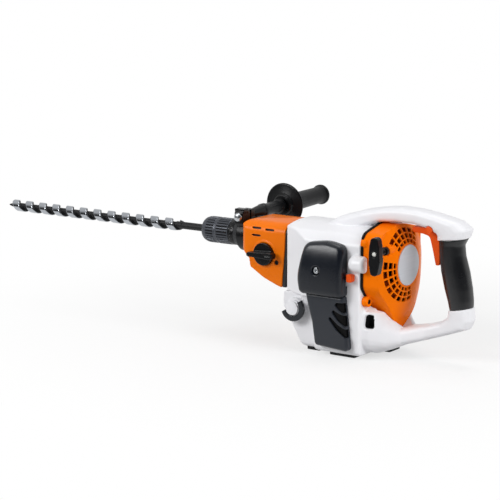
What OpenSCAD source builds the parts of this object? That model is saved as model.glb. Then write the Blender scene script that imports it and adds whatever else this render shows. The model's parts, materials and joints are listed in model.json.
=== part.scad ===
// Hand-held petrol wood-boring drill with a snake auger bit.
// The spindle lies along X with the bit toward -X, the rear grip toward +X and the operator's left at -Y.
// The feet stand on Z = 0, and the origin is under the spindle, on the rear foot.

/* [Bit] */
// Diameter over the flights
bit_d = 20; // [12:1:30]
// Whole length of the bit
bit_len = 480; // [300:5:600]
// Length of the shank inside the chuck
bit_grip = 45; // [36:1:50]
// Plain shank between the chuck and the flights
bit_bare = 57; // [20:1:80]
// Diameter of the shank
shank_d = 12; // [10:0.5:12]
// Diameter of the core between the flights
core_d = 9; // [6:0.5:10]
// Rise of the flight in one turn
flight_pitch = 28.3; // [20:0.1:40]
// Length of the lead screw at the tip
lead_len = 14; // [8:1:24]

/* [Chuck] */
// Diameter over the sleeve
chuck_d = 43; // [42:0.5:50]
// Length of the turning sleeve
sleeve_len = 56; // [52:1:64]
// Length of the holding ring behind the sleeve
ring_len = 10; // [8:1:14]
// Diameter of one jaw
jaw_d = 6.5; // [5:0.5:6.5]
// Travel of a jaw along its own slant
jaw_travel = 2.4; // [1:0.1:2.4]

/* [Gearbox] */
// Diameter of the neck that carries the side handle
neck_d = 43; // [40:0.5:46]
// Length of the neck from the chuck to the gear cover
neck_len = 32; // [31:1:42]
// Width of the gear cover
cover_w = 90; // [88:1:104]
// Length of the gear cover
cover_len = 86; // [84:1:96]
// Height of the gear cover above the spindle
cover_up = 35; // [34.5:0.5:42]
// Depth of the gear cover below the spindle
cover_down = 72; // [70:1:84]
// Width of the dark band between the gear cover and the engine housing
band_len = 5; // [3:0.5:10]
// Diameter of the spindle
spindle_d = 17; // [14:0.5:17]
// Diameter of the selector disc
selector_d = 36; // [28:1:40]
// Length of the selector bar
selector_bar = 50; // [40:1:56]

/* [Gears] */
// Tooth module of all the gears
gear_module = 1; // [1:0.05:1.05]
// Teeth of the drive pinion
pinion_teeth = 10; // [10:1:11]
// Teeth of the middle wheel
wheel_teeth = 34; // [32:1:35]
// Teeth of the middle pinion
mid_teeth = 20; // [18:1:21]
// Teeth of the output gear
output_teeth = 52; // [50:1:54]
// Height of the spindle above the crankshaft
crank_drop = 19; // [18:0.5:20]

/* [Engine] */
// Length of the white engine housing
housing_len = 144; // [140:1:160]
// Reach of the housing to the operator's left
side_left = 64; // [62:1:72]
// Reach of the housing to the operator's right
side_right = 60; // [58:1:70]
// Height of the housing above the spindle
housing_up = 39; // [38:0.5:46]
// Diameter of the crankshaft
crank_d = 15; // [12:0.5:15]
// Diameter of the flywheel fan
fan_d = 96; // [80:1:98]
// Blades of the flywheel fan
fan_blades = 14; // [8:1:20]
// Side of the square cylinder fins
fin_w = 52; // [44:1:54]
// Number of cylinder fins
fins = 6; // [4:1:7]

/* [Covers] */
// Thickness of the moulded walls
wall = 3; // [2:0.2:3.4]
// Depth of the filter cover from the housing
filter_deep = 23; // [21:0.5:30]
// Depth of the muffler guard from the housing
guard_deep = 13; // [10:0.5:18]
// Diameter of the white disc of the fuel cap
cap_d = 21.5; // [18:0.5:23]
// Outer diameter of the cap bail
bail_d = 42; // [36:1:44]

/* [Starter] */
// Depth of the starter cover
starter_deep = 46; // [44:1:54]
// Half width of the starter cover
starter_half = 62; // [58:1:63]
// Diameter of the plain badge disc
badge_d = 56; // [40:1:60]
// Diameter of the rope
rope_d = 3.5; // [3:0.5:4]
// Radius of the rope on its pulley
rope_r = 28; // [24:0.5:28]
// Height of the starter grip
pull_h = 58; // [44:1:64]

/* [Rear handle] */
// Half width of the upper arm
arm_half = 20; // [18:0.5:24]
// Half width of the rear grip
grip_half = 18; // [16:0.5:20]
// Diameter of the core of the rear grip
grip_core_d = 20; // [16:1:21]
// Width of the trigger
trigger_w = 13; // [10:0.5:14]
// Turn of the trigger when it is pulled
trigger_turn = 11; // [6:1:11]

/* [Side handle] */
// Width of the clamp collar
collar_w = 18; // [14:1:19]
// Thickness of the clamp ring
collar_t = 6.5; // [5:0.5:8]
// Upward tilt of the handle
side_tilt = 1.5; // [0:0.5:4]
// Distance from the spindle to the hand guard
guard_out = 98; // [92:1:130]
// Diameter of the hand guard
guard_d = 72; // [50:1:80]
// Length of the side grip
side_grip_len = 112; // [90:1:140]
// Diameter of the side grip
side_grip_d = 31; // [26:0.5:36]

/* [Base] */
// Height of the spindle above the floor
spindle_h = 164; // [162:1:180]
// Height of the rubber feet
foot_h = 6.5; // [4:0.5:10]

/* [Fits] */
// Gap between pieces that move past each other
gap = 0.4; // [0.3:0.05:0.5]
// Radial clearance of a shaft in its bore
run_fit = 0.05; // [0.02:0.01:0.1]

/* [Hidden] */
$fn = 48;
arc_steps = 6;
seat_fit = 0.02;

// Stations along the spindle, from the chuck mouth
bit_reach = bit_len - bit_grip;
flight_len = bit_reach - bit_bare - lead_len;
chuck_end = sleeve_len + ring_len;
neck_x = chuck_end + 2 * gap;
cover_x = neck_x + neck_len;
cover_end = cover_x + cover_len;
housing_x = cover_end + band_len;
housing_end = housing_x + housing_len;
starter_end = housing_end + starter_deep;
base_x = housing_end - 40;

// Levels
floor_z = foot_h - spindle_h;

// The right wall clears the ignition module beside the fan
coil_gap = 0.3;
coil_least = 8;
right_reach = max(side_right, fan_d / 2 + coil_gap + coil_least + wall);

// Bearings and gears
spindle_bearing_d = spindle_d + 15;
bearing_w = 9;
crank_bearing_d = crank_d + 17;
wheel_gap = gear_module * (pinion_teeth + wheel_teeth) / 2;
mid_gap = gear_module * (mid_teeth + output_teeth) / 2;
crank_z = -crank_drop;
mid_z = -(mid_gap ^ 2 - wheel_gap ^ 2 + crank_drop ^ 2) / (2 * crank_drop);
mid_y = sqrt(mid_gap ^ 2 - mid_z ^ 2);
output_turn = atan2(mid_y, -mid_z);
pinion_turn = atan2(mid_y, crank_z - mid_z);
gear_w = 12;
output_x = cover_x + 38;
rear_bearing_x = output_x + gear_w + 5;
wheel_x = rear_bearing_x + bearing_w + 4;
wheel_w = 9;
mid_shaft_d = 10;
pinion_shaft_d = 6;
tooth_room = 1.4;

// Chuck
jaw_slant = 10;
jaw_len = 24;
jaw_front = 1.5;
jaw_axis_r = shank_d / 2 + 2.5;
mouth_r = jaw_axis_r + jaw_d / 2 + 0.85;
body_r = chuck_d / 2 - 4.3;
body_front = 8;
rib_count = 24;

// Outlines are corner lists of [across, up, corner radius], in the order against the clock
cover_half = cover_w / 2;
cover_side = [
    [cover_x, -14, 6], [cover_x + 17, -30, 5], [cover_x + 19, -43, 6], [cover_x + 44, 14 - cover_down, 34],
    [cover_end - 7, -cover_down, 3], [cover_end - 1, -4, 60], [cover_end, cover_up, 2],
    [cover_x, cover_up - 5, 15]];
cover_front = [
    [-cover_half, -cover_down - 4, 12], [cover_half, -cover_down - 4, 12],
    [cover_half, cover_up - 14, 14], [cover_half - 12, cover_up - 5, 22], [0, cover_up, 40],
    [12 - cover_half, cover_up - 5, 22], [-cover_half, cover_up - 14, 14]];
cover_plan = [
    [cover_x, -cover_half, 12], [cover_end + band_len, -cover_half - 0.4, 1],
    [cover_end + band_len, cover_half + 0.4, 1], [cover_x, cover_half, 12]];
housing_section = [
    [-side_left, floor_z, 7], [right_reach, floor_z, 14], [right_reach, housing_up - 25, 14],
    [right_reach - 10, housing_up - 10, 12], [30, housing_up - 4.6, 20], [0, housing_up, 60],
    [-30, housing_up - 4.6, 20], [10 - side_left, housing_up - 10, 12], [-side_left, housing_up - 25, 14]];
tank_top = -76;
tank_end = housing_end - 82;
housing_plan = [
    [housing_x, -cover_half - 3, 2], [housing_end - 100, -side_left, 24], [housing_end, -side_left, 3],
    [housing_end, right_reach, 3], [housing_x + 40, right_reach, 24], [housing_x, cover_half + 3, 2]];
housing_side = [
    [tank_end, floor_z, 5], [housing_end, floor_z, 5], [housing_end, housing_up + 1, 2],
    [housing_x, housing_up - 2.5, 3], [housing_x - 1, -4, 60], [housing_x - 6, tank_top + 4, 5],
    [tank_end, tank_top, 8]];
band_side = [
    [cover_end - 7 + gap, 1.5 - cover_down, 0.5], [housing_x - 6 - seat_fit, 1.5 - cover_down, 0.5],
    [housing_x - 1 - seat_fit, -4, 60], [housing_x - seat_fit, cover_up - 1.5, 0.5],
    [cover_end + gap, cover_up - 1.5, 0.5], [cover_end - 1 + gap, -4, 60]];

// Filter cover and muffler guard on the left wall
filter_end = housing_end - 22;
filter_x = filter_end - 81;
filter_low = -66;
filter_side = [
    [filter_x + 4, filter_low, 9], [filter_end, filter_low, 6], [filter_end, 13, 13],
    [filter_x + 52, 19, 60], [filter_x + 12, 14, 15], [filter_x - 1, -42, 60]];
guard_side = [
    [filter_x + 29, floor_z + 12, 6], [filter_end + 9, floor_z + 8, 6], [filter_end - 1, filter_low - gap, 2],
    [filter_x + 11, filter_low - gap, 3], [filter_x + 23, filter_low - 42, 40]];
guard_vents = [
    [[-15.5, -12.5, 2], [-6, -21.5, 16], [4, -25, 6], [30, -27, 1], [30, -8, 1], [-13, -9, 2.5]],
    [[-20.5, -23.5, 2], [-9, -37, 18], [4, -45, 10], [30, -50, 1], [30, -30, 1], [4, -28.3, 8],
        [-7.7, -25, 14], [-18, -20.3, 2.5]],
    [[-26, -34.5, 2], [-12, -51, 20], [3, -61.5, 14], [30, -68, 1], [30, -53, 1], [4, -49, 10],
        [-10, -42.3, 16], [-23.5, -31.3, 2]]];
filter_screw_at = [filter_x + 37, -27];

// Starter
starter_front = [
    [0, -125, 8], [starter_half - 16, -96, 40], [starter_half, -56, 30], [starter_half, 31, 16],
    [0, 45, 60], [-starter_half, 31, 16], [-starter_half, -50, 14]];
starter_skirt = 32;
dome_roll = 22;
vent_rings = [[31.2, 37.2], [40.2, 46.4], [49.6, 55.8]];
vent_step = 15;
pull_x = housing_end + 36;
rope_z = crank_z + rope_r;
pull_near = -73;
pull_deep = 12;
pull_w = 19;
rotor_r = rope_r + 5;
post_d = 10;

// Fuel tank and cap
tank_half = 50;
tank_side = [
    [tank_end - 31, floor_z, 10], [tank_end - gap, floor_z, 4], [tank_end - gap, tank_top - gap, 8],
    [housing_x - 5, tank_top + 4 - gap, 5], [housing_x - 5, tank_top - 20, 16]];
tank_front = [
    [-tank_half, floor_z - 1, 9], [tank_half, floor_z - 1, 9], [tank_half, tank_top + 8, 3],
    [-tank_half, tank_top + 8, 3]];
cap_at = [housing_x + 21, -96];
neck_out = 57;
bail_turn = 31;
bail_t = 5;
bail_pin_d = 3;

// Rear handle stations: [finger side point, outer point, half width], measured from the housing end
upper_arm = [
    [[-92, 6], [-98, 32], 25], [[-62, 20], [-66, 49], 25], [[-24, 36], [-25, 61.5], 24],
    [[6, 45], [14, 68.5], 22], [[32, 47], [37, 70.5], arm_half + 1], [[62, 46.5], [66, 69.5], arm_half],
    [[88, 42], [99, 65], arm_half], [[100, 35], [136, 57], arm_half], [[101, 31], [152.5, 46], arm_half],
    [[100, 26], [148, 32], grip_half + 1]];
lower_arm = [
    [[0.3, -62], [0.3, floor_z], side_left - 3], [[14, -66], [12, floor_z + 0.5], side_left - 4],
    [[30, -100], [32, floor_z + 8], 46], [[46, -114], [54, floor_z + 18], 29], [[84, -106], [88, -128.5], 19],
    [[109, -98], [119, -118], grip_half - 1], [[119, -90], [153, -105.5], grip_half - 1],
    [[121, -84], [159.5, -92], grip_half - 1], [[120, -79.5], [157.5, -72], grip_half - 1]];
// Rear grip stations: [height, middle, half length, half width, rise from the middle to the back]
grip_rings = [
    [29 - seat_fit, 124, 23, grip_half, 2.875], [19.5, 121.7, 19.3, grip_half - 1, 1.4],
    [4, 123, 20, grip_half - 1, 0.4], [-20, 128.2, 22.2, grip_half, 0], [-45, 133.8, 21.4, grip_half, 0.8],
    [-64, 138, 19.2, grip_half - 0.5, 2.2], [seat_fit - 75.6, 139.5, 17.7, grip_half - 1, 3.54]];
arm_sides = 28;
trigger_pivot = [housing_end + 91, 42];
trigger_side = [
    [housing_end + 56, 34, 2], [housing_end + 74, 33, 10], [housing_end + 86, 30, 8],
    [housing_end + 92, 8, 30], [housing_end + 97, -13, 2], [housing_end + 104, -13, 3],
    [housing_end + 103, 24, 8], [housing_end + 100, 42, 8], [housing_end + 90, 49, 7],
    [housing_end + 82, 43, 3], [housing_end + 56, 43, 2]];
trigger_slot = [
    [housing_end + 52, 28, 3], [housing_end + 95, -22, 5], [pulled([housing_end + 104, -13]).x + 2.5, -22, 5],
    [pulled([housing_end + 103, 24]).x + 4, 36, 4], [housing_end + 107, 50, 4], [housing_end + 52, 50, 3]];
trigger_pin_d = 5;
pin_head_d = 11;
pin_head_y = -13.5;

// Where a point of the trigger goes when it is pulled
function pulled(p) = trigger_pivot + [
    (p - trigger_pivot) * [cos(trigger_turn), -sin(trigger_turn)],
    (p - trigger_pivot) * [sin(trigger_turn), cos(trigger_turn)]];

core_lean = atan2(grip_rings[6][1] - grip_rings[0][1], grip_rings[0][0] - grip_rings[6][0]);

// Side handle
collar_x = cover_x - collar_w - 3.4;
bolt_d = 8;
bolt_z = neck_d / 2 + bolt_d / 2 + 6.3;
ear_left = 31;
ear_right = 3;
ear_split = -9;
bolt_head_d = 14;
stem_d = 20;

// Corner lists and their rounded outlines
function unit(v) = v / norm(v);
function left(v) = [-v.y, v.x];
function flat(p) = [p.x, p.y];
function at(list, i) = list[(i + len(list)) % len(list)];

function inset(corners, d) = [
    for (i = [0:len(corners) - 1])
        let (
            p = flat(corners[i]),
            a = left(unit(p - flat(at(corners, i - 1)))),
            b = left(unit(flat(at(corners, i + 1)) - p)))
        concat(p + (a + b) * d / (1 + a * b), max(corners[i][2] - d, 0.5))];

function fillet(p, q, s, r) =
    let (
        u = unit(p - q),
        v = unit(s - q),
        half = acos(u * v) / 2,
        o = q + unit(u + v) * r / sin(half),
        a = q + u * r / tan(half) - o,
        b = q + v * r / tan(half) - o,
        start = atan2(a.y, a.x),
        turn = atan2(a.x * b.y - a.y * b.x, a * b))
    [for (k = [0:arc_steps]) o + r * [cos(start + turn * k / arc_steps), sin(start + turn * k / arc_steps)]];

function rounded(corners) = [
    for (i = [0:len(corners) - 1])
        each fillet(flat(at(corners, i - 1)), flat(corners[i]), flat(at(corners, i + 1)), corners[i][2])];

// Placing
module seat() {
    translate([-base_x, 0, spindle_h]) children();
}

module rod_x(x0, x1, d) {
    translate([x0, 0, 0]) rotate([0, 90, 0]) cylinder(h = x1 - x0, d = d);
}

module rod_y(y0, y1, d) {
    translate([0, y1, 0]) rotate([90, 0, 0]) cylinder(h = y1 - y0, d = d);
}

module turned_x(profile) {
    rotate([0, 90, 0]) rotate_extrude() polygon(profile);
}

module along_x(outline, x0, x1) {
    translate([x0, 0, 0]) rotate([90, 0, 90]) linear_extrude(x1 - x0) polygon(outline);
}

module along_y(outline, y0, y1) {
    translate([0, y1, 0]) rotate([90, 0, 0]) linear_extrude(y1 - y0) polygon(outline);
}

module along_z(outline, z0, z1) {
    translate([0, 0, z0]) linear_extrude(z1 - z0) polygon(outline);
}

module block(from, to) {
    translate(from) cube(to - from);
}

// A closed skin through rings of points, each ring with as many points as the next
module loft(rings) {
    n = len(rings[0]);
    last = len(rings) - 1;
    polyhedron(
        points = [for (ring = rings) each ring],
        faces = concat(
            [[for (i = [0:n - 1]) i]],
            [for (k = [0:last - 1], i = [0:n - 1]) [k * n + i, (k + 1) * n + i, k * n + (i + 1) % n]],
            [for (k = [0:last - 1], i = [0:n - 1])
                [(k + 1) * n + i, (k + 1) * n + (i + 1) % n, k * n + (i + 1) % n]],
            [[for (i = [n - 1:-1:0]) last * n + i]]));
}

// One squared oval ring of a handle arm, from its finger side to its outer side
function soft(v, power) = sign(v) * pow(abs(v), power);
function arm_ring(station, from_x) =
    let (mid = (station[0] + station[1]) / 2, reach = (station[1] - station[0]) / 2)
    [for (i = [0:arm_sides - 1])
        let (a = 360 * i / arm_sides, up = soft(sin(a), 0.62), side = soft(cos(a), 0.62))
        [from_x + mid.x + reach.x * up, station[2] * side, mid.y + reach.y * up]];
function grip_ring(ring, from_x) = [
    for (i = [0:arm_sides - 1])
        let (a = 360 * i / arm_sides, along = soft(cos(a), 0.85))
        [from_x + ring[1] + ring[2] * along, ring[3] * soft(sin(a), 0.85), ring[0] + ring[4] * along]];

// A toothed disc whose first tooth points along the first axis
module toothed(teeth) {
    pitch_r = gear_module * teeth / 2;
    tip = pitch_r + 0.8 * gear_module;
    root = pitch_r - 1.15 * gear_module;
    polygon([
        for (i = [0:teeth - 1])
            for (p = [[root, -0.29], [tip, -0.1], [tip, 0.1], [root, 0.29]])
                p[0] * [cos(360 * (i + p[1]) / teeth), sin(360 * (i + p[1]) / teeth)]]);
}

module gear_x(x0, x1, teeth, turn) {
    translate([x0, 0, 0]) rotate([0, 90, 0]) linear_extrude(x1 - x0) rotate(turn) toothed(teeth);
}

module ring_x(x0, x1, outer, inner) {
    difference() {
        rod_x(x0, x1, outer);
        rod_x(x0 - 1, x1 + 1, inner);
    }
}

// A deep-groove bearing with its shallow face grooves
module bearing_x(x0, outer, inner) {
    difference() {
        ring_x(x0, x0 + bearing_w, outer, inner);
        for (x = [x0 - 1, x0 + bearing_w - 1])
            ring_x(x, x + 2, outer - 5, inner + 5);
    }
}

// Bit and chuck
// One ring of the twisted flight: a land on the rim and the rest on the core
function flight_ring(x, turn) = [
    for (p = concat(
        [for (k = [-2:2]) [bit_d / 2, 36 * k]],
        [for (k = [0:5]) [core_d / 2, 92 + 35.2 * k]]))
        [x, p[0] * cos(p[1] + turn), p[0] * sin(p[1] + turn)]];

module auger_bit() {
    steps = round(15 * flight_len / flight_pitch);
    color("dimgray") seat() {
        loft([for (k = [0:steps])
            let (run = flight_len * k / steps)
            flight_ring(lead_len - bit_reach + run, 360 * run / flight_pitch)]);
        rod_x(-bit_bare, bit_grip, shank_d);
        translate([-bit_reach, 0, 0]) rotate([0, 90, 0]) cylinder(h = lead_len, d1 = 1, d2 = core_d - 1);
    }
}

module chuck_sleeve() {
    r = chuck_d / 2;
    color("dimgray") seat() difference() {
        turned_x([[mouth_r, 0], [mouth_r + 2.2, 0], [r - 4, 2.5], [r - 2, 6], [r - 0.6, 11], [r, 16],
            [r, sleeve_len - 1], [r - 1, sleeve_len], [body_r + run_fit, sleeve_len],
            [body_r + run_fit, body_front], [mouth_r + 0.6, 4]]);
        for (i = [0:rib_count - 1]) rotate([360 * i / rib_count, 0, 0]) {
            translate([0, 0, r + 0.5]) rod_x(8, 22, 3);
            translate([0, 0, r + 0.5]) rod_x(29, sleeve_len - 3, 3);
        }
    }
}

module chuck_ring() {
    color("black") seat() difference() {
        ring_x(sleeve_len + gap, chuck_end, chuck_d - 1, 2 * (body_r + seat_fit));
        for (i = [0:rib_count - 1]) rotate([360 * (i + 0.5) / rib_count, 0, 0])
            translate([0, 0, chuck_d / 2]) rod_x(sleeve_len + 2, chuck_end - 2, 2);
    }
}

module jaw_axis(turn) {
    rotate([turn, 0, 0]) translate([jaw_front, 0, jaw_axis_r]) rotate([0, -jaw_slant, 0]) children();
}

module chuck_body() {
    color("silver") seat() difference() {
        rod_x(body_front + gap, chuck_end, 2 * body_r);
        rod_x(body_front - 1, bit_grip + 1, shank_d + 0.6);
        rod_x(bit_grip + 4, chuck_end + 1, spindle_d + 2 * seat_fit);
        for (turn = [0, 120, 240]) jaw_axis(turn) rod_x(-8, jaw_len + jaw_travel + 2, jaw_d + 2 * gap);
    }
}

module chuck_jaw(turn) {
    color("gainsboro") seat() difference() {
        jaw_axis(turn) rod_x(0, jaw_len, jaw_d);
        rod_x(-5, bit_grip, shank_d + 2 * run_fit);
    }
}

module chuck_jaw_1() {
    chuck_jaw(0);
}

module chuck_jaw_2() {
    chuck_jaw(120);
}

module chuck_jaw_3() {
    chuck_jaw(240);
}

// Gear train
module spindle() {
    color("silver") seat() {
        rod_x(bit_grip + 4 + gap, rear_bearing_x + bearing_w, spindle_d);
        rod_x(output_x + gear_w + gap, rear_bearing_x - gap, spindle_d + 5);
    }
}

module output_gear() {
    color("silver") seat() difference() {
        gear_x(output_x, output_x + gear_w, output_teeth, output_turn);
        rod_x(output_x - 1, output_x + gear_w + 1, spindle_d + 2 * seat_fit);
        for (a = [30:60:330]) rotate([a, 0, 0]) translate([0, 0, gear_module * output_teeth * 0.34])
            rod_x(output_x - 1, output_x + gear_w + 1, gear_module * 7);
    }
}

module spindle_bearings() {
    color("gainsboro") seat() {
        bearing_x(neck_x + 4, spindle_bearing_d, spindle_d + 2 * run_fit);
        bearing_x(rear_bearing_x, spindle_bearing_d, spindle_d + 2 * run_fit);
    }
}

module mid_shaft() {
    color("silver") seat() translate([0, mid_y, mid_z])
        rod_x(output_x - 12, cover_end - 2, mid_shaft_d);
}

// Each middle gear has a gap where the gear it meets has a tooth
module mid_gears() {
    color("silver") seat() translate([0, mid_y, mid_z]) difference() {
        union() {
            gear_x(output_x, output_x + gear_w, mid_teeth, output_turn + 180 + 180 / mid_teeth);
            rod_x(output_x + gear_w, wheel_x, mid_shaft_d + 6);
            gear_x(wheel_x, wheel_x + wheel_w, wheel_teeth, pinion_turn + 180 + 180 / wheel_teeth);
        }
        rod_x(output_x - 1, wheel_x + wheel_w + 1, mid_shaft_d + 2 * seat_fit);
    }
}

module drive_pinion() {
    color("silver") seat() translate([0, 0, crank_z]) difference() {
        gear_x(wheel_x - 1, wheel_x + wheel_w + 1, pinion_teeth, pinion_turn);
        rod_x(wheel_x - 2, wheel_x + wheel_w + 2, pinion_shaft_d + 2 * seat_fit);
    }
}

drum_x = housing_x + 24;
drum_len = 26;
drum_d = 62;

module clutch_drum() {
    color("slategray") seat() translate([0, 0, crank_z]) {
        rod_x(wheel_x - 1, drum_x + 1, pinion_shaft_d);
        difference() {
            rod_x(drum_x, drum_x + drum_len, drum_d);
            rod_x(drum_x + wall, drum_x + drum_len + 1, drum_d - 2 * wall);
            for (a = [0:60:300]) rotate([a, 0, 0]) translate([0, 0, drum_d * 0.3])
                rod_x(drum_x - 1, drum_x + wall + 1, 7);
        }
    }
}

// The space inside the gear cover's outline, drawn in by a depth and let run on at the rear
module cover_form(depth, run_on) {
    long_side = [
        for (c = cover_side) [c.x > cover_end - 10 ? c.x + run_on : c.x, c.y, c[2]]];
    intersection() {
        along_y(rounded(inset(long_side, depth)), -cover_w, cover_w);
        along_x(rounded(inset(cover_front, depth)), cover_x - 1, cover_end + 20);
        along_z(rounded(inset(cover_plan, depth)), -2 * cover_down, 2 * cover_up);
    }
}

selector_at = [cover_x + 47, -20];
cover_screw_at = [cover_x + 69, -32];
screw_head_d = 7;
screw_d = 4;
selector_shaft_d = 10;
case_in = wall + gap;

module gear_case() {
    color("dimgray") seat() difference() {
        union() {
            cover_form(case_in, case_in + 2);
            intersection() {
                along_y(rounded(band_side), -cover_w, cover_w);
                along_x(rounded(inset(cover_front, 1.5)), cover_x, housing_x + 5);
            }
            rod_x(neck_x, cover_x + 12, neck_d);
        }
        rod_x(neck_x - 1, housing_x + 5, spindle_d + 2 * gap);
        rod_x(neck_x - 1, neck_x + 4 + bearing_w, spindle_bearing_d + 2 * seat_fit);
        rod_x(output_x - tooth_room, output_x + gear_w + 3,
            gear_module * (output_teeth + 2) + 2 * tooth_room);
        rod_x(output_x, wheel_x, spindle_bearing_d + 2 * seat_fit);
        translate([0, mid_y, mid_z]) {
            rod_x(output_x - 13, cover_end - 1, mid_shaft_d + 2 * run_fit);
            rod_x(output_x - tooth_room, output_x + gear_w + 3,
                gear_module * (mid_teeth + 2) + 2 * tooth_room);
            rod_x(output_x, wheel_x, mid_shaft_d + 6 + 2 * gap);
            rod_x(wheel_x - tooth_room, wheel_x + wheel_w + tooth_room,
                gear_module * (wheel_teeth + 2) + 2 * tooth_room);
        }
        translate([0, 0, crank_z]) {
            rod_x(wheel_x - 3, housing_x + 5, pinion_shaft_d + 2 * run_fit);
            rod_x(wheel_x - 3, wheel_x + wheel_w + 3, gear_module * (pinion_teeth + 2) + 2 * tooth_room);
        }
        translate([selector_at.x, 0, selector_at.y])
            rod_y(-cover_w, 14 - cover_half, selector_shaft_d + 2 * run_fit);
        for (side = [-1, 1]) translate([cover_screw_at.x, side * cover_half, cover_screw_at.y])
            rod_y(-7, 7, screw_d + 2 * seat_fit);
    }
}

cover_slot = [17, 3];
cover_slots = [[22, 19.5], [47, 18.5], [22, 8]];

module gear_cover() {
    color("darkorange") seat() difference() {
        union() {
            cover_form(0, 0);
            translate([selector_at.x, 0, selector_at.y])
                rod_y(-cover_half - 1.5, -cover_half + 2, selector_d + 6);
        }
        cover_form(wall, wall + 2);
        rod_x(cover_x - 1, cover_x + 20, neck_d + 2 * gap);
        translate([selector_at.x, 0, selector_at.y]) {
            rod_y(-cover_w, 0, selector_shaft_d + 2 * gap);
            rod_y(-cover_w, -cover_half, selector_d + 2 * gap);
        }
        for (side = [-1, 1]) {
            for (slot = cover_slots) translate([cover_x + slot.x, side * cover_half, slot.y]) {
                block([cover_slot.y / 2, -10, -cover_slot.y / 2],
                    [cover_slot.x - cover_slot.y / 2, 10, cover_slot.y / 2]);
                for (x = [cover_slot.y / 2, cover_slot.x - cover_slot.y / 2])
                    translate([x, 0, 0]) rod_y(-10, 10, cover_slot.y);
            }
            translate([cover_screw_at.x, side * cover_half, cover_screw_at.y])
                rod_y(-8, 8, screw_head_d + 2 * gap);
        }
    }
}

module gear_cover_screws() {
    reach = cover_half - case_in;
    color("black") seat() for (side = [-1, 1])
        translate([cover_screw_at.x, 0, cover_screw_at.y]) rotate([0, 0, side > 0 ? 180 : 0]) difference() {
            union() {
                rod_y(-reach - 2.6, -reach - seat_fit, screw_head_d);
                rod_y(-reach - 1, -reach + 3.5, screw_d);
            }
            translate([0, -reach - 2.8, 0]) rotate([-90, 0, 0]) cylinder(h = 1.8, d = 4, $fn = 6);
        }
}

selector_face = cover_half + gap;
selector_t = 6;
bar_h = 12;

module selector_knob() {
    color("black") seat() translate([selector_at.x, 0, selector_at.y]) difference() {
        union() {
            rod_y(-selector_face - selector_t, -selector_face, selector_d);
            along_y(rounded([[-selector_bar / 2 + 2, -3.5, 3], [selector_bar / 2, -5.5, 4],
                [selector_bar / 2, 5.5, 4], [-selector_bar / 2 + 2, 3.5, 3]]),
                -selector_face - selector_t - bar_h, -selector_face - selector_t + 0.5);
        }
        rod_y(-selector_face - 3, 0, selector_shaft_d + 2 * seat_fit);
        block([selector_d / 2 - 7, -selector_face - selector_t - bar_h - 1, -0.8],
            [selector_bar / 2 - 3, -selector_face - selector_t - bar_h + 0.8, 0.8]);
    }
}

module selector_shaft() {
    color("silver") seat() translate([selector_at.x, 0, selector_at.y])
        rod_y(-selector_face - 3 + seat_fit, 13 - cover_half, selector_shaft_d);
}

// Side handle, drawn about the spindle and tilted as one
module side_frame() {
    seat() rotate([side_tilt, 0, 0]) translate([collar_x + collar_w / 2, 0, 0]) children();
}

ear_top = bolt_z + 10;
stem_bore_d = 12;
stem_end = guard_out - 7;

module handle_collar() {
    half = collar_w / 2;
    color("black") side_frame() difference() {
        union() {
            rod_x(-half, half, neck_d + 2 * collar_t);
            along_x(rounded([[-ear_left, 18, 6], [ear_right, 4, 1], [ear_right, ear_top, 3],
                [-ear_left, ear_top, 4]]), 1 - half, half - 1);
            block([-half, 2 - ear_left, ear_top - 3], [half, 14 - ear_left, ear_top + 3]);
        }
        rod_x(-half - 3, half + 3, neck_d + 2 * run_fit);
        block([-half - 3, ear_split - 1.4, 0], [half + 3, ear_split + 1.4, ear_top + 5]);
        translate([0, 0, bolt_z]) rod_y(-ear_left - 1, ear_right + 1, bolt_d + 2 * gap);
    }
}

module collar_bolt() {
    color("silver") side_frame() translate([0, 0, bolt_z]) {
        rod_y(-ear_left - 1, ear_right + 14, bolt_d);
        translate([0, -ear_left, 0]) rotate([90, 0, 0])
            rotate_extrude() polygon([[0, seat_fit], [bolt_head_d / 2, seat_fit], [bolt_head_d / 2, 3],
                [bolt_head_d / 2 - 1.5, 5.4], [bolt_head_d / 2 - 4, 6.4], [0, 6.6]]);
    }
}

module turned_y(profile) {
    rotate([-90, 0, 0]) rotate_extrude() polygon(profile);
}

module handle_stem() {
    color("black") side_frame() translate([0, 0, bolt_z]) difference() {
        turned_y([[0, ear_right + seat_fit], [7.5, ear_right + seat_fit], [10.8, 32], [11.6, 33.5],
            [11.6, 41], [10.2, 42.5], [stem_d / 2, stem_end - 12], [stem_d / 2 + 2, stem_end - 10],
            [stem_d / 2 + 2, stem_end - 5], [stem_d / 2, stem_end - 3], [stem_d / 2, stem_end],
            [0, stem_end]]);
        rod_y(ear_right - 1, ear_right + 15, bolt_d + 2 * run_fit);
        translate([0, 0, -bolt_z]) rod_x(-collar_w, collar_w, neck_d + 2 * collar_t + 2 * seat_fit);
        rod_y(stem_end - 18, stem_end + 1, stem_bore_d + 2 * run_fit);
    }
}

module handle_guard() {
    color("black") side_frame() translate([0, 0, bolt_z]) difference() {
        turned_y([[0, guard_out - 6], [16, guard_out - 6], [18, guard_out - 4], [19, guard_out],
            [guard_d / 2 - 2, guard_out + 1], [guard_d / 2, guard_out + 2.5],
            [guard_d / 2 - 1, guard_out + 4.5], [20, guard_out + 5], [0, guard_out + 5]]);
        rod_y(guard_out - 20, guard_out + 20, stem_bore_d + 2 * seat_fit);
    }
}

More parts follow.
